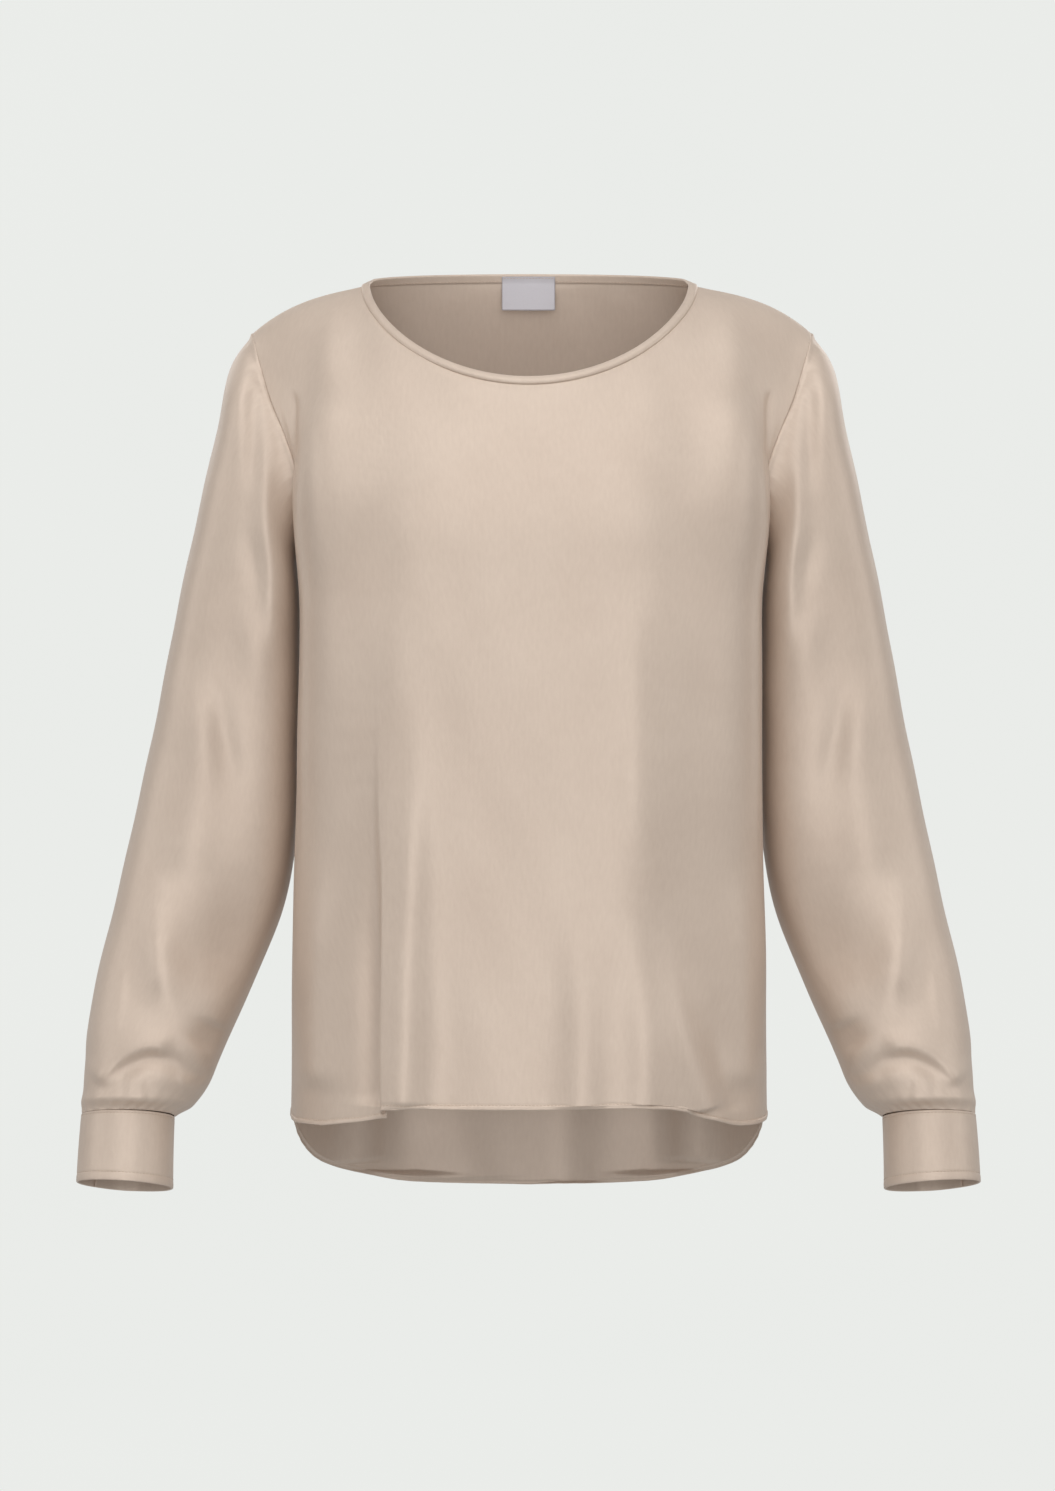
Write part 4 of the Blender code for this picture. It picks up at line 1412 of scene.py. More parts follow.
    def bumps(self, turn: Array, above: Array) -> Array:
        """How far the rolls over the cuff, and the fullness behind the underarm, stand out of the sleeve.

        Args:
            turn: the angle of each column round it.
            above: how far each row lies above the cuff.

        Returns:
            The heights.
        """
        total = np.zeros(np.broadcast(turn, above).shape)
        for round_deg, above_cuff, length_deg, width, height in self.BUMPS:
            round_by = (np.degrees(turn) - round_deg + 180) % 360 - 180
            total += height * bell(round_by, length_deg) * bell(above - above_cuff, width)
        return total

    def finish_edges(self, made: Surface, turn: Array) -> None:
        """Turns the cloth in under the armhole and puckers it into the cuff.

        Args:
            made: the sleeve, which is changed.
            turn: the angle of each column round it.
        """
        down = made.down()
        to_cuff = down[-1:] - down
        ease = self.ease * np.sin(turn * 41 + np.sin(turn * 5)) * bell(down - 0.005, 0.006)
        gathers = self.gathers * np.sin(turn * 23 + 2 * np.sin(turn * 3 + 0.5))
        gathers = gathers * np.exp(-to_cuff / self.gathers_reach) * smooth(to_cuff / 0.0015)
        seam = self.ease * bell(down - 0.0016, 0.0012)
        made.raise_by(ease * smooth(down / 0.001) + gathers + seam - 0.0006 * bell(to_cuff, 0.001))
        out, along = made.normals()[0], unit(made.points[1] - made.points[0])
        allowance = made.points[0] - out * self.allowance_drop - along * self.allowance
        made.points = np.concatenate([allowance[None], made.points])
        made.middle = np.concatenate([made.middle[:1], made.middle])

    def build(self, finish: Material) -> None:
        """Makes the sleeve on its own side.

        Args:
            finish: the satin.
        """
        word = self.hand.name.lower()
        surface = self.surface()
        surface.points = surface.points * (self.hand.value, 1, 1)
        surface.middle = surface.middle * (self.hand.value, 1, 1)
        piece = Cloth(f"sleeve_{word}_satin", surface, finish).build(self.form.settled)
        put_on(piece, "satin", f"sleeve_{word}")


@dataclass
class Cuff:
    """A plain barrel cuff of two layers of satin over interlining, topstitched all round."""

    form: BodyForm
    cuff: CuffForm
    hand: Hand
    stitch_low: float = 0.0062
    stitch_top: float = 0.0018
    stitch_depth: float = 0.00022
    stitch_sink: float = 0.00025
    stitch_sink_width: float = 0.0007
    low_puff: float = 0.00018
    steps: int = 190

    # Where the rings that round each end off lie, as shares of half the band's thickness.
    END_SHARES = (0.35, 0.75, 0.97)

    def section(self) -> tuple[Array, Array]:
        """The band's section, down its outer face and up its inner one.

        Returns:
            How far down each of its corners lies, as a share, and how far in, in metres.
        """
        half, height = self.cuff.thick / 2, self.cuff.height
        rows = (self.stitch_top, height - self.stitch_low)
        outer = clustered(46, half, height - half, tuple((row, 4.0, 0.0012) for row in rows))
        bend = np.linspace(0, math.pi, 9)[1:-1]
        inner = np.linspace(height - half, half, 16)
        down = np.concatenate([outer, height - half + half * np.sin(bend), inner, half - half * np.sin(bend)])
        depth = np.concatenate([
            0 * outer, half - half * np.cos(bend), 2 * half + 0 * inner, half + half * np.cos(bend)
        ])
        sunk = bell(outer - rows[0], self.stitch_sink_width) + bell(outer - rows[1], self.stitch_sink_width)
        puff = self.low_puff * bell(outer - height + 0.003, 0.0018)
        depth[: len(outer)] += self.stitch_sink * sunk - puff
        return down / height, depth

    def under(self, turn: Array) -> Array:
        """How far the band dives under its own lap, 0 to 1."""
        return smooth((turn - self.cuff.lap_at - 2 * math.pi + self.cuff.step) / self.cuff.step)

    def face(self, turn: Array, drop: float | Array) -> Array:
        """Points of the left band's outer face.

        Args:
            turn: angles round the wrist.
            drop: how far down they lie, as a share. An array gives that many points at each angle.

        Returns:
            The points, where the lap lies over the end below it.
        """
        inward = self.cuff.outward(turn) * ((self.cuff.thick + self.cuff.gap) * self.under(turn))[:, None]
        if np.ndim(drop):
            return self.cuff.ring(turn[:, None], drop[None]) - inward[:, None]
        return self.cuff.ring(turn, drop) - inward

    def rings(self, turn: Array, drop: Array, depth: Array) -> Array:
        """The corners of the whole band.

        Args:
            turn: angles round the wrist.
            drop: how far down the corners of its section lie, as shares.
            depth: how far in they lie.

        Returns:
            The corners of each section, those that round its two ends off included.
        """
        half, outward = self.cuff.thick / 2, self.cuff.outward(turn)
        face = self.face(turn, drop)
        wave = 0.00025 * np.sin(3 * turn + 0.7) + 0.00018 * np.sin(7 * turn + 2.0)
        lift = wave[:, None] * np.sin(drop * math.pi)[None] * (1 - self.under(turn))[:, None]
        sections = list(face - outward[:, None] * (depth[None] - lift)[..., None])
        for end, before in ((0, 1), (-1, -2)):
            along = unit(face[end] - face[before])
            rounded = []
            for share in self.END_SHARES:
                squeezed = half + (depth - half) * math.sqrt(1 - share**2)
                rounded.append(face[end] - outward[end] * squeezed[:, None] + along * (half * share))
            sections = rounded[::-1] + sections if end == 0 else sections + rounded
        return np.array(sections) * (self.hand.value, 1, 1)

    def build(self, finish: Material, thread: Material) -> None:
        """Makes the cuff and its stitches.

        Args:
            finish: the satin.
            thread: the thread of the topstitching.
        """
        word = self.hand.name.lower()
        turn = self.cuff.lap_at + np.linspace(0, 2 * math.pi + self.cuff.lap, self.steps)
        drop, depth = self.section()
        rings = self.rings(turn, drop, depth)
        count, corners = rings.shape[:2]
        faces = grid_faces(count, corners, True, self.hand is Hand.RIGHT)
        first = tuple(range(corners))
        last = tuple((count - 1) * corners + corner for corner in first)
        faces += [first[::-1], last] if self.hand is Hand.RIGHT else [first, last[::-1]]
        piece = mesh_object(f"cuff_{word}_satin", self.form.settled(rings), faces, finish)
        self.map_threads(piece, turn, drop, depth)
        made = []
        for row, down in (("top", self.stitch_top), ("low", self.cuff.height - self.stitch_low)):
            line, out = self.stitch_line(turn, down)
            name = f"cuff_{word}_stitches_{row}"
            made.append(StitchRow().build(name, self.form.settled(line), out, thread))
            put_on(made[-1], "satin")
        put_on(piece, "satin", f"cuff_{word}")

    def stitch_line(self, turn: Array, down: float) -> tuple[Array, Array]:
        """The line of a row of stitches on the cuff's outer face, short of its ends.

        Args:
            turn: angles round the wrist.
            down: how far below the cuff's seam the row runs.

        Returns:
            The line's points and the ways out of the cloth there.
        """
        keep = slice(3, -3)
        outward = self.cuff.outward(turn)
        line = self.face(turn, down / self.cuff.height) - outward * self.stitch_depth
        sign = (self.hand.value, 1, 1)
        return line[keep] * sign, outward[keep] * sign

    def map_threads(self, piece: Object, turn: Array, drop: Array, depth: Array) -> None:
        """Writes the cuff's UV map: metres round the wrist and down.

        Args:
            piece: the cuff.
            turn: the angle of each section between its rounded ends.
            drop: how far down the corners of a section lie, as shares.
            depth: how far in they lie.
        """
        ends = len(self.END_SHARES)
        along = np.array([turn[0]] * ends + list(turn) + [turn[-1]] * ends) * self.cuff.radius
        flat = np.stack(np.broadcast_arrays(along[:, None], (drop * self.cuff.height + depth)[None]), axis=-1)
        index = np.empty(len(piece.data.loops), np.int32)
        piece.data.loops.foreach_get("vertex_index", index)
        layer = piece.data.uv_layers.new(name="threads")
        layer.data.foreach_set("uv", flat.reshape(-1, 2)[index].astype(np.float32).reshape(-1))


@dataclass
class CuffButton:
    """A small four-hole button on the cuff, its thread and the buttonhole under it."""

    form: BodyForm
    cuff: CuffForm
    hand: Hand
    radius: float = 0.0053
    thick: float = 0.0022
    rim: float = 0.0012
    dish_slope: float = 0.0004
    dish_depth: float = 0.0005
    edge: float = 0.0004
    hole_radius: float = 0.00065
    hole_offset: float = 0.00125
    holes: int = 4
    drill: float = 0.02
    bar_length: float = 0.0026
    bar_radius: float = 0.00032
    bar_below: float = 0.0003
    from_lap: float = math.radians(11)
    lift: float = 1.5
    slit_half: float = 0.0068
    slit_gap: float = 0.0003
    slit_reach: float = 0.0015
    slit_level: float = -0.00036
    slit_stitches: int = 30
    slit_thread: tuple[float, float] = (0.00024, 0.00022)

    def place(self) -> Matrix:
        """Where the button lies.

        Returns:
            The centre of its back, with Z out of the cuff and Y up it.
        """
        turn = np.array(self.cuff.lap_at + self.from_lap)
        up = unit(self.cuff.ring(turn, 0.0) - self.cuff.ring(turn, 1.0))
        out = self.cuff.outward(turn)
        out = unit(out - up * np.dot(out, up))
        point = self.cuff.ring(turn, 0.5) + out * self.cuff.gap * self.lift
        sign = np.array([self.hand.value, 1, 1])
        up, out = up * sign, out * sign
        placed = Matrix.Identity(4)
        for column, way in enumerate((np.cross(up, out), up, out, self.form.settled(point * sign))):
            for row in range(3):
                placed[row][column] = float(way[row])
        return placed

    def disc(self, name: str, finish: Material) -> Object:
        """Turns the button on the world's Z axis: a bevelled disc with a sunken middle and four holes.

        Args:
            name: the button's name.
            finish: its material.

        Returns:
            The button.
        """
        select_none()
        bpy.ops.mesh.primitive_cylinder_add(
            vertices=48, radius=self.radius, depth=self.thick, location=(0, 0, self.thick / 2)
        )
        made = bpy.context.active_object
        made.name = made.data.name = name
        bpy.ops.object.transform_apply(location=True, rotation=True, scale=True)
        bpy.ops.object.mode_set(mode="EDIT")
        bpy.ops.mesh.select_mode(type="FACE")
        bpy.ops.mesh.select_all(action="DESELECT")
        bpy.ops.object.mode_set(mode="OBJECT")
        for polygon in made.data.polygons:
            polygon.select = polygon.normal.z > 0.9
        bpy.ops.object.mode_set(mode="EDIT")
        bpy.ops.mesh.inset(thickness=self.rim)
        bpy.ops.mesh.inset(thickness=self.dish_slope)
        bpy.ops.transform.translate(value=(0, 0, -self.dish_depth))
        bpy.ops.object.mode_set(mode="OBJECT")
        edge = made.modifiers.new("edge", "BEVEL")
        edge.width, edge.segments = self.edge, 3
        edge.limit_method, edge.angle_limit = "ANGLE", math.radians(28)
        bpy.ops.object.modifier_apply(modifier=edge.name)
        for number in range(self.holes):
            angle = math.pi / self.holes + number * 2 * math.pi / self.holes
            at = (self.hole_offset * math.cos(angle), self.hole_offset * math.sin(angle), self.thick / 2)
            bpy.ops.mesh.primitive_cylinder_add(
                vertices=16, radius=self.hole_radius, depth=self.drill, location=at
            )
            cutter = bpy.context.active_object
            select_only(made)
            hole = made.modifiers.new("hole", "BOOLEAN")
            hole.operation, hole.object, hole.solver = "DIFFERENCE", cutter, "EXACT"
            bpy.ops.object.modifier_apply(modifier=hole.name)
            bpy.data.objects.remove(cutter, do_unlink=True)
        bpy.ops.object.shade_smooth_by_angle(angle=math.radians(35))
        made.data.materials.clear()
        made.data.materials.append(finish)
        return made

    def build(self, finish: Material, thread: Material) -> None:
        """Makes the button, the two bars of thread in its holes and the buttonhole.

        Args:
            finish: the button's material.
            thread: the thread.
        """
        word = self.hand.name.lower()
        place = self.place()
        button = self.disc(f"cuff_button_{word}_disc", finish)
        button.data.transform(place)
        put_on(button, "button", f"cuff_button_{word}")
        sewn = [
            self.bar(f"cuff_button_{word}_thread_{number}", side, thread)
            for number, side in enumerate((-1, 1))
        ]
        sewn.append(self.buttonhole(f"cuff_{word}_buttonhole", thread))
        for piece in sewn:
            piece.data.transform(place)
            put_on(piece, "satin")

    def bar(self, name: str, side: int, thread: Material) -> Object:
        """Sews a bar of thread through two of the holes.

        Args:
            name: its name.
            side: -1 or 1, for the two pairs of holes.
            thread: the thread.

        Returns:
            The bar.
        """
        at = side * self.hole_offset * math.sin(math.pi / 4)
        up = np.linspace(-self.bar_length / 2, self.bar_length / 2, 5)
        line = np.stack([np.full(5, at), up, np.full(5, self.thick - self.bar_below)], axis=-1)
        row = StitchRow(length=self.bar_length, gap=0.0, radius=self.bar_radius)
        return row.build(name, line, np.array([[0.0, 0.0, 1.0]] * 5), thread)

    def buttonhole(self, name: str, thread: Material) -> Object:
        """Sews close stitches on both sides of a slit that runs round the cuff, under the button.

        Args:
            name: its name.
            thread: the thread.

        Returns:
            The buttonhole as one mesh.
        """
        half, rise = self.slit_thread
        wide, up = np.array([half, 0, 0]), np.array([0, 0, rise])
        corners, faces = [], []
        for side in (-1, 1):
            for at in np.linspace(-self.slit_half, self.slit_half, self.slit_stitches):
                start = np.array([at, side * self.slit_gap, self.slit_level])
                end = np.array([at, side * self.slit_reach, self.slit_level])
                first = len(corners)
                for point in (start, (start + end) / 2 + up * 0.8, end):
                    corners += [point - wide, point + up - wide * 0.3, point + up + wide * 0.3, point + wide]
                for ring in range(2):
                    for corner in range(3):
                        a = first + ring * 4 + corner
                        quad = (a, a + 4, a + 5, a + 1)
                        faces.append(quad if side < 0 else quad[::-1])
        return mesh_object(name, np.array(corners), faces, thread)


# ------------------------------------------------------------ neck
@dataclass
class NeckBinding:
    """The narrow band that is folded over the neck edge, all the way round."""

    form: BodyForm
    width: float = 0.0062
    thick: float = 0.0024
    wall: float = 0.0012
    steps: int = 150
    crown: float = 0.0008
    seam_sink: float = 0.0010
    outer_low: float = -0.0006
    inner_low: float = -0.0004
    stitch_up: float = 0.0008
    stitch_out: float = 0.00005
    slack: float = 0.0001
    shell: float = 0.0004
    rounds_of_evening: int = 6

    def frames(self) -> tuple[Array, Array, Array]:
        """Frames all round the neck.

        Returns:
            The points of its edge, the ways on past it and the ways out of the cloth.
        """
        parts = []
        for face in Face:
            shares = np.linspace(-self.form.neck_share, self.form.neck_share, self.steps)
            parts.append(self.form.neck_frames(face, shares))
        edge, past, out = (np.concatenate([front, back[::-1][1:-1]]) for front, back in zip(*parts))
        for _ in range(self.rounds_of_evening):
            past = unit(np.roll(past, 1, axis=0) + 2 * past + np.roll(past, -1, axis=0))
            out = unit(np.roll(out, 1, axis=0) + 2 * out + np.roll(out, -1, axis=0))
        return edge, past, out

    def section(self, half: float) -> tuple[Array, Array]:
        """The band's section: up its outer side, over the fold and down its inner side.

        Args:
            half: half the band's thickness.

        Returns:
            How far up each of its corners lies, and how far out of its middle.
        """
        bend = np.linspace(0, math.pi, 9)[1:-1]
        top = self.width - half
        outer, inner = np.linspace(self.outer_low, top, 9), np.linspace(top, self.inner_low, 8)
        up = np.concatenate([outer, top + half * np.sin(bend), inner])
        away = np.concatenate([np.full(9, half), half * np.cos(bend), np.full(8, -half)])
        sunk = self.seam_sink * bell(outer - self.outer_low, 0.0007)
        away[: len(outer)] += self.crown * np.sin(np.linspace(0, math.pi, 9)) - sunk
        return up, away

    def build(self, finish: Material, thread: Material) -> None:
        """Makes the band, its inner edge's stitches included.

        Args:
            finish: the satin.
            thread: the thread.
        """
        edge, past, out = self.frames()
        middle, half = -self.wall / 2, self.thick / 2 - self.slack
        up, away = self.section(half)
        length = np.concatenate([[0], np.cumsum(np.linalg.norm(np.diff(edge, axis=0), axis=1))])
        pucker = 1 + 0.05 * np.sin(length / 0.0095 * 2 * math.pi)
        pucker += 0.04 * np.sin(length / 0.023 * 2 * math.pi)
        depth = middle + away[:, None] * pucker[None]
        points = edge[None] + past[None] * up[:, None, None] + out[None] * depth[..., None]
        surface = Surface(points, True, (edge + past * (self.width / 2) + out * middle)[None])
        piece = Cloth("neck_binding_satin", surface, finish, self.shell).build(self.form.settled)
        line = edge + past * self.stitch_up + out * (middle - half - self.stitch_out)
        line, ways = np.concatenate([line, line[:1]]), np.concatenate([-out, -out[:1]])
        inner = StitchRow().build("neck_binding_stitches", self.form.settled(line), ways, thread)
        put_on(piece, "satin", "neck_binding")
        put_on(inner, "satin")


@dataclass
class NeckLabel:
    """A bare woven label inside the centre back, sewn down along its top."""

    form: BodyForm
    size: tuple[float, float] = (0.040, 0.025)
    on_binding: float = 0.0046
    behind_edge: float = 0.00219
    fall: tuple[float, float, float] = (0.0, 0.10, -1.0)
    columns: int = 41
    rows: int = 27
    stitch_in: float = 0.0012

    def build(self, finish: Material, thread: Material) -> None:
        """Makes the label and the stitches that hold it.

        Args:
            finish: the ribbon.
            thread: the thread.
        """
        width, length = self.size
        across, down = np.linspace(-1, 1, self.columns), np.linspace(0, 1, self.rows)[:, None]
        share = across * width / 2 / self.form.neck_half * self.form.neck_share * 2 / math.pi
        edge, past, out = self.form.neck_frames(Face.BACK, share)
        # It lies on the binding as far as that goes, and hangs free below it.
        up = self.on_binding - np.linspace(0, length, self.rows)[:, None, None]
        face = edge - out * self.behind_edge + past * np.maximum(up, 0.0)
        face = face + np.array(self.fall) * np.maximum(-up, 0.0)
        curl = -0.0006 * across**2 * down**2 + 0.00025 * np.sin(across * 4 + 1) * down
        rim = np.minimum(1 - np.abs(across)[None], np.minimum(down, 1 - down) * 1.25) * width / 2
        face = face - out * (curl + 0.00014 * bell(rim, 0.0009))[..., None]
        surface = Surface(face, False, face.mean(axis=(0, 1)) + out.mean(axis=0) * 0.1)
        piece = Cloth("label_ribbon", surface, finish).build(self.form.settled)
        layer = piece.data.uv_layers["threads"].data
        flat = np.empty(len(layer) * 2, np.float32)
        layer.foreach_get("uv", flat)
        flat = flat.reshape(-1, 2) + (width / 2, 0.0)
        layer.foreach_set("uv", flat.astype(np.float32).reshape(-1))
        line, ways = surface.level_line(self.stitch_in, from_top=True)
        row = StitchRow(length=0.0017, gap=0.0006, radius=0.00016)
        stitches = row.build("label_stitches", self.form.settled(line[1:-1]), ways[1:-1], thread)
        put_on(piece, "label_ribbon", "label")
        put_on(stitches, "label_ribbon")


# ------------------------------------------------------------ studio
@dataclass(frozen=True)
class SoftLight:
    """A square soft light, which looks at the middle of the blouse unless it has its own aim."""

    name: str
    place: tuple[float, float, float]
    size: float
    power: float
    aim: tuple[float, float, float] = (0.0, 0.0, -0.3)

    def build(self) -> None:
        """Hangs the light."""
        lamp = bpy.data.lights.new(self.name, "AREA")
        lamp.shape, lamp.size, lamp.energy = "SQUARE", self.size, self.power
        made = bpy.data.objects.new(self.name, lamp)
        made.location = self.place
        made.rotation_euler = (Vector(self.aim) - Vector(self.place)).to_track_quat("-Z", "Y").to_euler()
        bpy.context.scene.collection.objects.link(made)


@dataclass(frozen=True)
class Studio:
    """A pale seamless bowl of paper, soft lights and the camera."""

    paper_light: str = "#EBEDEA"
    paper_deep: str = "#E9EBE8"
    paper_cloud: float = 1.2
    air: str = "#F4F5F5"
    ambient: float = 0.47
    floor_z: float = -1.35
    radius: float = 7.0
    flat_share: float = 0.55
    sweep_share: float = 0.45
    wall_height: float = 12.0
    sides: int = 64
    distance: float = 3.2
    eye_x: float = -0.00073
    eye_z: float = -0.336
    view_height: float = 1.0884
    sensor_mm: float = 36.0

    LIGHTS = (
        SoftLight("key_left", (1.1, -3.2, 1.1), 1.5, 12),
        SoftLight("key_right", (-1.1, -3.2, 1.1), 1.5, 12),
        SoftLight("high", (0.0, -2.1, 2.7), 2.8, 32),
        SoftLight("top", (0.0, -0.7, 3.3), 2.4, 13),
        SoftLight("fill", (0.0, -4.0, -0.9), 1.8, 26),
        # A small one inside the hollow body lights the inner back of the neck.
        SoftLight("inside_neck", (0.0, -0.030, -0.190), 0.16, 0.045, (0.0, 0.080, -0.060)),
        SoftLight("side_left", (2.8, -1.0, 0.4), 1.8, 9),
        SoftLight("side_right", (-2.8, -1.0, 0.4), 1.8, 9),
        SoftLight("rear_left", (1.9, 3.0, 1.3), 2.0, 20),
        SoftLight("rear_right", (-1.9, 3.0, 1.3), 2.0, 14),
    )

    def build(self) -> None:
        """Makes the bowl, the lights, the world and the camera."""
        scene = bpy.context.scene
        scene.view_settings.view_transform = "Standard"
        self.bowl()
        for light in self.LIGHTS:
            light.build()
        world = bpy.data.worlds.new("studio_air")
        scene.world = world
        world.use_nodes = True
        air = world.node_tree.nodes["Background"]
        air.inputs["Color"].default_value = linear(self.air)
        air.inputs["Strength"].default_value = self.ambient
        lens = bpy.data.cameras.new("camera")
        lens.sensor_width = self.sensor_mm
        lens.lens = self.sensor_mm * self.distance / self.view_height
        lens.clip_start, lens.clip_end = 0.05, 60.0
        camera = bpy.data.objects.new("camera", lens)
        camera.location = (self.eye_x, -self.distance, self.eye_z)
        camera.rotation_euler = (math.pi / 2, 0, 0)
        scene.collection.objects.link(camera)
        scene.camera = camera

    def bowl(self) -> None:
        """Makes the floor, which curves up all round. Only the camera sees it, so it lights nothing."""
        flat, sweep = self.radius * self.flat_share, self.radius * self.sweep_share
        profile = [(flat, self.floor_z)]
        for turn in np.linspace(0, math.pi / 2, 14)[1:]:
            profile.append((flat + sweep * math.sin(turn), self.floor_z + sweep * (1 - math.cos(turn))))
        profile.append((self.radius, self.floor_z + self.wall_height))
        around = np.arange(self.sides) / self.sides * 2 * math.pi
        rings = [[(r * math.cos(a), r * math.sin(a), z) for a in around] for r, z in profile]
        faces = grid_faces(len(rings), self.sides, True, False) + [tuple(range(self.sides))]
        floor = mesh_object("paper_floor", np.array(rings), faces, self.paper())
        floor.visible_diffuse = floor.visible_glossy = floor.visible_shadow = False
        floor.visible_transmission = False

    def paper(self) -> Material:
        """Makes the matt paper, lit evenly, with a very faint cloudiness.

        Returns:
            The material.
        """
        made, tree, shader = new_material("matt_paper")
        place = node(tree, "ShaderNodeTexCoord")
        cloud = node(
            tree, "ShaderNodeTexNoise", {"Scale": self.paper_cloud, "Detail": 1.0},
            {"Vector": place.outputs["Object"]},
        )
        ramp = node(tree, "ShaderNodeValToRGB", {}, {"Fac": cloud.outputs["Fac"]})
        low, high = ramp.color_ramp.elements
        low.color, high.color = linear(self.paper_deep), linear(self.paper_light)
        tree.links.new(ramp.outputs["Color"], shader.inputs["Emission Color"])
        shader.inputs["Emission Strength"].default_value = 1.0
        shader.inputs["Base Color"].default_value = (0, 0, 0, 1)
        shader.inputs["Specular IOR Level"].default_value = 0.0
        shader.inputs["Roughness"].default_value = 1.0
        return made


# ------------------------------------------------------------ creases
FRONT_FOLDS = (
    Fold(-0.375, -0.38, -0.23, -0.56, 0.01, 0.034, 0.85),
    Fold(0.28, 0.3, -0.17, -0.38, 0.008, 0.044, -0.45),
    Fold(0.36, 0.5, -0.48, -0.592, 0.01, 0.036, -0.35),
    Fold(0.72, 0.78, -0.3, -0.56, 0.0045, 0.034),
    Fold(-0.74, -0.76, -0.3, -0.56, 0.0045, 0.034),
)
BACK_FOLDS = (
    Fold(-0.5, -0.56, -0.26, -0.6, 0.006, 0.04),
    Fold(0.47, 0.54, -0.24, -0.6, 0.0065, 0.042),
    Fold(0.0, 0.03, -0.33, -0.62, 0.003, 0.05),
)
# The creases beside the wearer's right arm, which the left side mirrors: a sharp trough along the armhole,
# the ridge at its side, the broad light next to that, the trough that runs down from the shoulder, and the
# side's own rounded edge.
ARM_TROUGH = Crease(
    ((-0.172, -0.076), (-0.169, -0.092), (-0.1662, -0.114), (-0.1632, -0.15)), -0.0032, 0.0038
)
ARM_RIDGE = Crease(
    ((-0.166, -0.08), (-0.162, -0.12), (-0.162, -0.175), (-0.163, -0.25)), 0.0016, 0.006
)
EDGE_RIDGE = Crease(((-0.149, -0.078), (-0.149, -0.14), (-0.15, -0.235)), 0.0056, 0.017)
SIDE_TROUGH = Crease(
    ((-0.101, -0.085), (-0.112, -0.155), (-0.124, -0.25), (-0.124, -0.42)),
    -0.004, 0.021, 0.0, (0.4, 0.4),
)
SIDE_RIDGE = Crease(((-0.1594, -0.115), (-0.16, -0.25), (-0.1612, -0.45)), 0.0024, 0.0024)
# Under the bust the cloth leaves the body, which breaks the light along a broad shelf.
BUST_SHELF = Crease(
    ((-0.15, -0.12), (-0.105, -0.168), (-0.04, -0.186), (0.03, -0.186), (0.105, -0.168), (0.15, -0.125)),
    0.0034, 0.044, 0.25, (0.15, 0.15),
)
FRONT_CREASES = (
    ARM_TROUGH,
    ARM_TROUGH.mirrored(1.1),
    ARM_RIDGE,
    ARM_RIDGE.mirrored(0.9),
    EDGE_RIDGE,
    EDGE_RIDGE.mirrored(1.0),
    SIDE_TROUGH,
    SIDE_TROUGH.mirrored(0.8),
    SIDE_RIDGE,
    SIDE_RIDGE.mirrored(1.0),
    BUST_SHELF,
    # The lapped fold's light ridge, and the troughs on both sides of it.
    Crease(((-0.077, -0.29), (-0.0815, -0.44), (-0.0845, -0.592)), 0.0032, 0.0105, 0.0, (0.5, 0.02)),
    Crease(((-0.065, -0.38), (-0.062, -0.5), (-0.06, -0.592)), -0.0012, 0.016, 0.0, (0.5, 0.02)),
    Crease(((-0.108, -0.38), (-0.1105, -0.5), (-0.112, -0.592)), -0.004, 0.011, 0.0, (0.5, 0.05)),
    # A long faint ridge down the wearer's left.
    Crease(((0.074, -0.215), (0.0741, -0.31), (0.075, -0.43)), 0.0015, 0.01),
    # The streaks of light that fan out over the hem, the light near each side seam and a trough beside it.
    Crease(((0.03, -0.44), (0.036, -0.53), (0.037, -0.592)), 0.0036, 0.013, 0.0, (0.6, 0.02)),
    Crease(((0.074, -0.42), (0.077, -0.52), (0.079, -0.592)), 0.0026, 0.0095, 0.0, (0.6, 0.02)),
    Crease(((0.092, -0.46), (0.103, -0.54), (0.117, -0.596)), 0.0058, 0.017, -0.3, (0.6, 0.02)),
    Crease(((0.149, -0.42), (0.15, -0.5), (0.15, -0.585)), 0.0044, 0.0115, 0.0, (0.4, 0.1)),
    Crease(((0.134, -0.5), (0.136, -0.56), (0.14, -0.6)), -0.0018, 0.013, 0.0, (0.5, 0.1)),
    Crease(((-0.145, -0.4), (-0.147, -0.5), (-0.148, -0.585)), 0.0046, 0.0115, 0.0, (0.4, 0.1)),
)
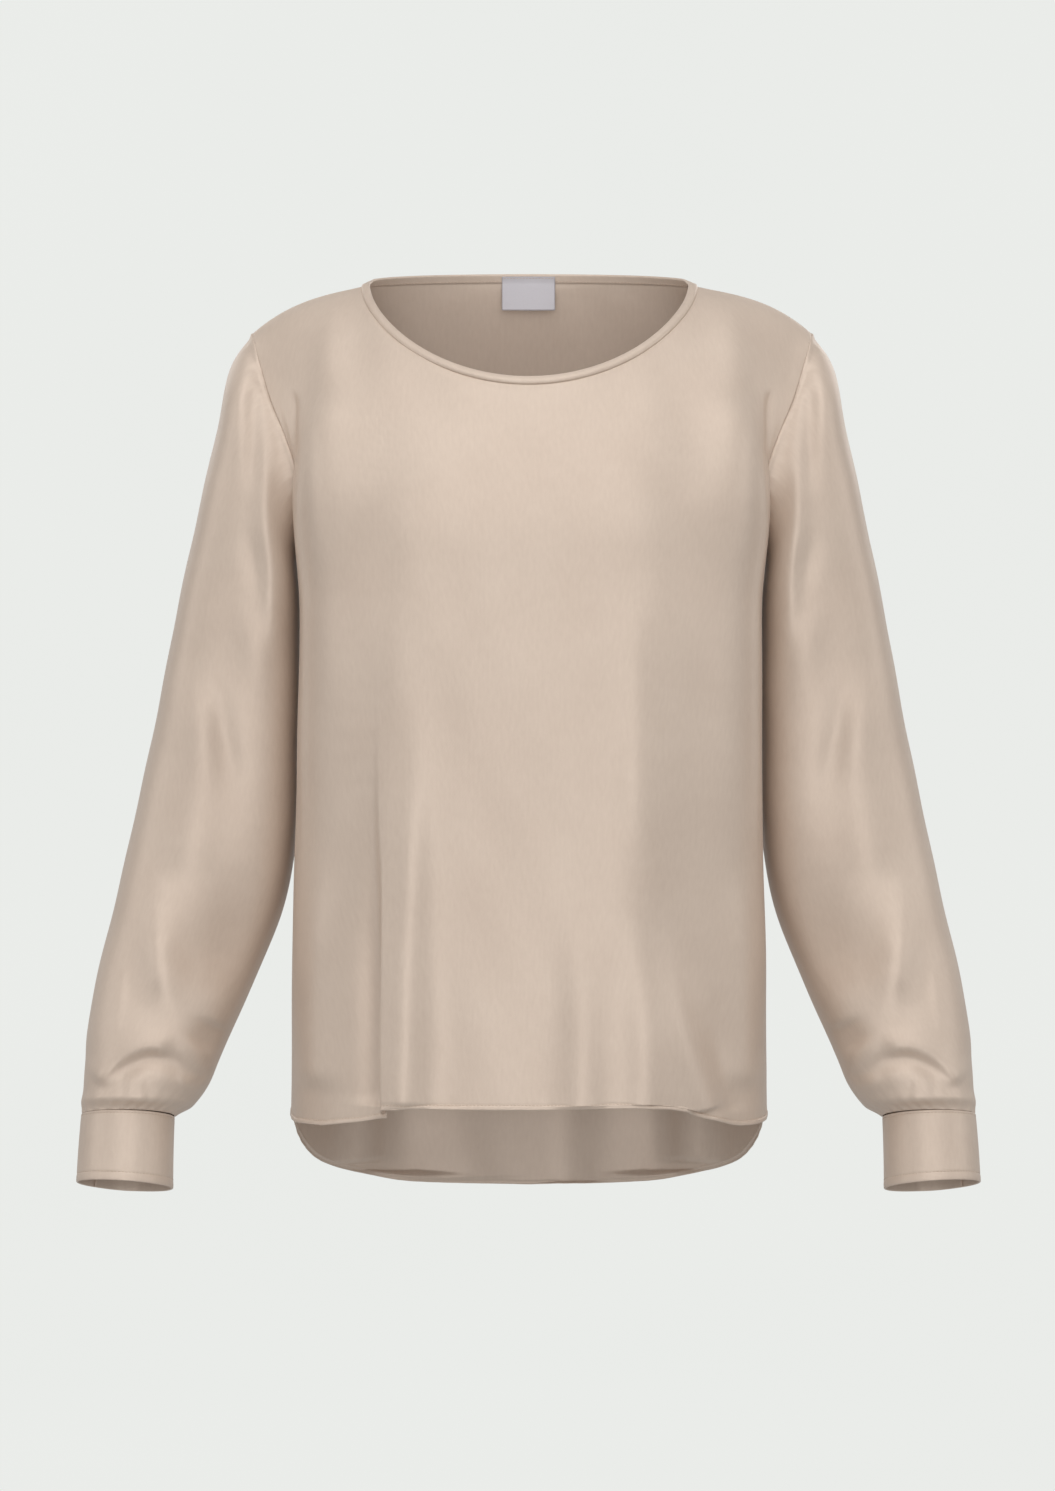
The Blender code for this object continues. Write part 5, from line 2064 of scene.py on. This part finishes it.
BACK_CREASES = (
    ARM_TROUGH.mirrored(0.8),
    replace(ARM_TROUGH, height=-0.002),
    # The shoulder blades, the drag lines from the armholes and the soft folds down the tail.
    Crease(((-0.06, -0.09), (-0.078, -0.19), (-0.086, -0.33)), 0.003, 0.018),
    Crease(((0.07, -0.08), (0.084, -0.2), (0.088, -0.35)), 0.0034, 0.019),
    Crease(((-0.14, -0.15), (-0.128, -0.23), (-0.124, -0.36)), -0.0034, 0.016),
    Crease(((0.142, -0.14), (0.13, -0.225), (0.126, -0.35)), -0.0036, 0.016),
    Crease(((-0.01, -0.24), (0.004, -0.36), (0.002, -0.48)), 0.0024, 0.026),
    Crease(((-0.086, -0.4), (-0.092, -0.56), (-0.095, -0.66)), 0.0042, 0.03, 0.0, (0.5, 0.02)),
    Crease(((-0.046, -0.44), (-0.046, -0.57), (-0.044, -0.665)), -0.0022, 0.026, 0.0, (0.5, 0.02)),
    Crease(((0.094, -0.4), (0.098, -0.56), (0.1, -0.66)), 0.0044, 0.028, 0.0, (0.5, 0.02)),
    Crease(((0.02, -0.48), (0.026, -0.59), (0.032, -0.668)), 0.003, 0.02, 0.0, (0.5, 0.02)),
    # Two troughs that show from the front, on the inside of the tail, as narrow streaks of light.
    Crease(((0.114, -0.46), (0.117, -0.56), (0.118, -0.65)), -0.008, 0.0135, 0.0, (0.5, 0.02)),
    Crease(((-0.121, -0.47), (-0.121, -0.56), (-0.121, -0.65)), -0.008, 0.0135, 0.0, (0.5, 0.02)),
)
SLEEVE_FRONT = (
    # The long light down the inner front, and the troughs that drop from the sleeve's head.
    Crease(((0.192, -0.11), (0.1895, -0.16), (0.186, -0.225), (0.178, -0.285)), 0.003, 0.0075),
    Crease(((0.199, -0.072), (0.1985, -0.105), (0.1965, -0.165)), -0.0034, 0.0068),
    Crease(((0.185, -0.075), (0.179, -0.105), (0.171, -0.138)), -0.0018, 0.006),
    Crease(((0.2, -0.175), (0.196, -0.205), (0.1888, -0.24)), -0.0026, 0.008, 0.0, (0.5, 0.5)),
    # Slack cloth over the upper arm: two ridges with a trough between them.
    Crease(((0.214, -0.22), (0.196, -0.262), (0.196, -0.32)), 0.0028, 0.014, 0.0, (0.5, 0.5)),
    Crease(((0.229, -0.28), (0.2215, -0.326), (0.2115, -0.38)), -0.0034, 0.01, 0.0, (0.5, 0.4)),
    Crease(((0.2384, -0.27), (0.237, -0.333), (0.243, -0.4), (0.25, -0.44)), 0.0036, 0.017),
    # The wide hollow along the inner forearm, the S-shaped ridge beside it, and a trough and a thin ridge at
    # its outer side.
    Crease(
        ((0.188, -0.385), (0.202, -0.445), (0.213, -0.488), (0.226, -0.524)),
        -0.0135, 0.03, 0.0, (0.6, 0.35),
    ),
    Crease(
        ((0.258, -0.42), (0.266, -0.465), (0.2655, -0.489), (0.2601, -0.508), (0.249, -0.536)),
        0.008, 0.015, 0.0, (0.5, 0.35),
    ),
    Crease(((0.285, -0.45), (0.285, -0.495), (0.28, -0.53)), -0.0024, 0.013, 0.0, (0.5, 0.4)),
    Crease(((0.2905, -0.47), (0.294, -0.518), (0.3, -0.55)), 0.0009, 0.0045),
    # The cloth folds over on itself above the cuff: a ridge, the arc below it, two small puffs and a hollow
    # at the inner side.
    Crease(
        ((0.2531, -0.5563), (0.2684, -0.553), (0.2824, -0.5563), (0.2977, -0.5647), (0.3118, -0.5786)),
        0.0036, 0.008, 0.35, (0.2, 0.1),
    ),
    Crease(
        ((0.2322, -0.5787), (0.2447, -0.5703), (0.2587, -0.5619), (0.2726, -0.5605), (0.2894, -0.5675),
         (0.3062, -0.5745)),
        -0.0048, 0.008, 0.0, (0.08, 0.25),
    ),
    Crease(((0.2897, -0.58), (0.281, -0.5795), (0.2726, -0.58)), 0.0014, 0.009),
    Crease(((0.2525, -0.578), (0.243, -0.577), (0.2332, -0.577)), 0.0018, 0.008),
    Crease(((0.223, -0.534), (0.229, -0.545), (0.237, -0.556)), -0.0076, 0.0115),
)
SLEEVE_BACK = (
    Crease(((0.199, -0.08), (0.193, -0.16), (0.186, -0.24)), 0.0026, 0.008),
    Crease(((0.206, -0.075), (0.204, -0.12), (0.201, -0.17)), -0.0026, 0.005),
    Crease(((0.2, -0.27), (0.23, -0.34), (0.248, -0.43)), 0.004, 0.02),
    Crease(((0.245, -0.45), (0.266, -0.49), (0.256, -0.53)), 0.004, 0.01),
    Crease(((0.3, -0.568), (0.276, -0.556), (0.252, -0.56), (0.236, -0.572)), -0.005, 0.007),
)


def main() -> None:
    """Builds every piece of the blouse, then the studio."""
    logging.basicConfig(level=logging.INFO, format="%(name)s %(message)s")
    LOG.info("%d solids in the frame", len(frame["nodes"]))
    form, cuff = BodyForm(), CuffForm()
    satin, thread = Satin().make(), Thread().make()
    ribbon, plastic = Ribbon().make(), PolyesterButton().make()
    NeckBinding(form).build(satin, thread)
    BodyPanel(form, Face.FRONT, FRONT_FOLDS, FRONT_CREASES, Pleat()).build(satin, thread)
    BodyPanel(form, Face.BACK, BACK_FOLDS, BACK_CREASES, columns=160, rows=180).build(satin, thread)
    for hand in Hand:
        Sleeve(form, cuff, hand, SLEEVE_FRONT, SLEEVE_BACK).build(satin)
        Cuff(form, cuff, hand).build(satin, thread)
        CuffButton(form, cuff, hand).build(plastic, thread)
    NeckLabel(form).build(ribbon, thread)
    Studio().build()


if __name__ == "__main__":
    main()
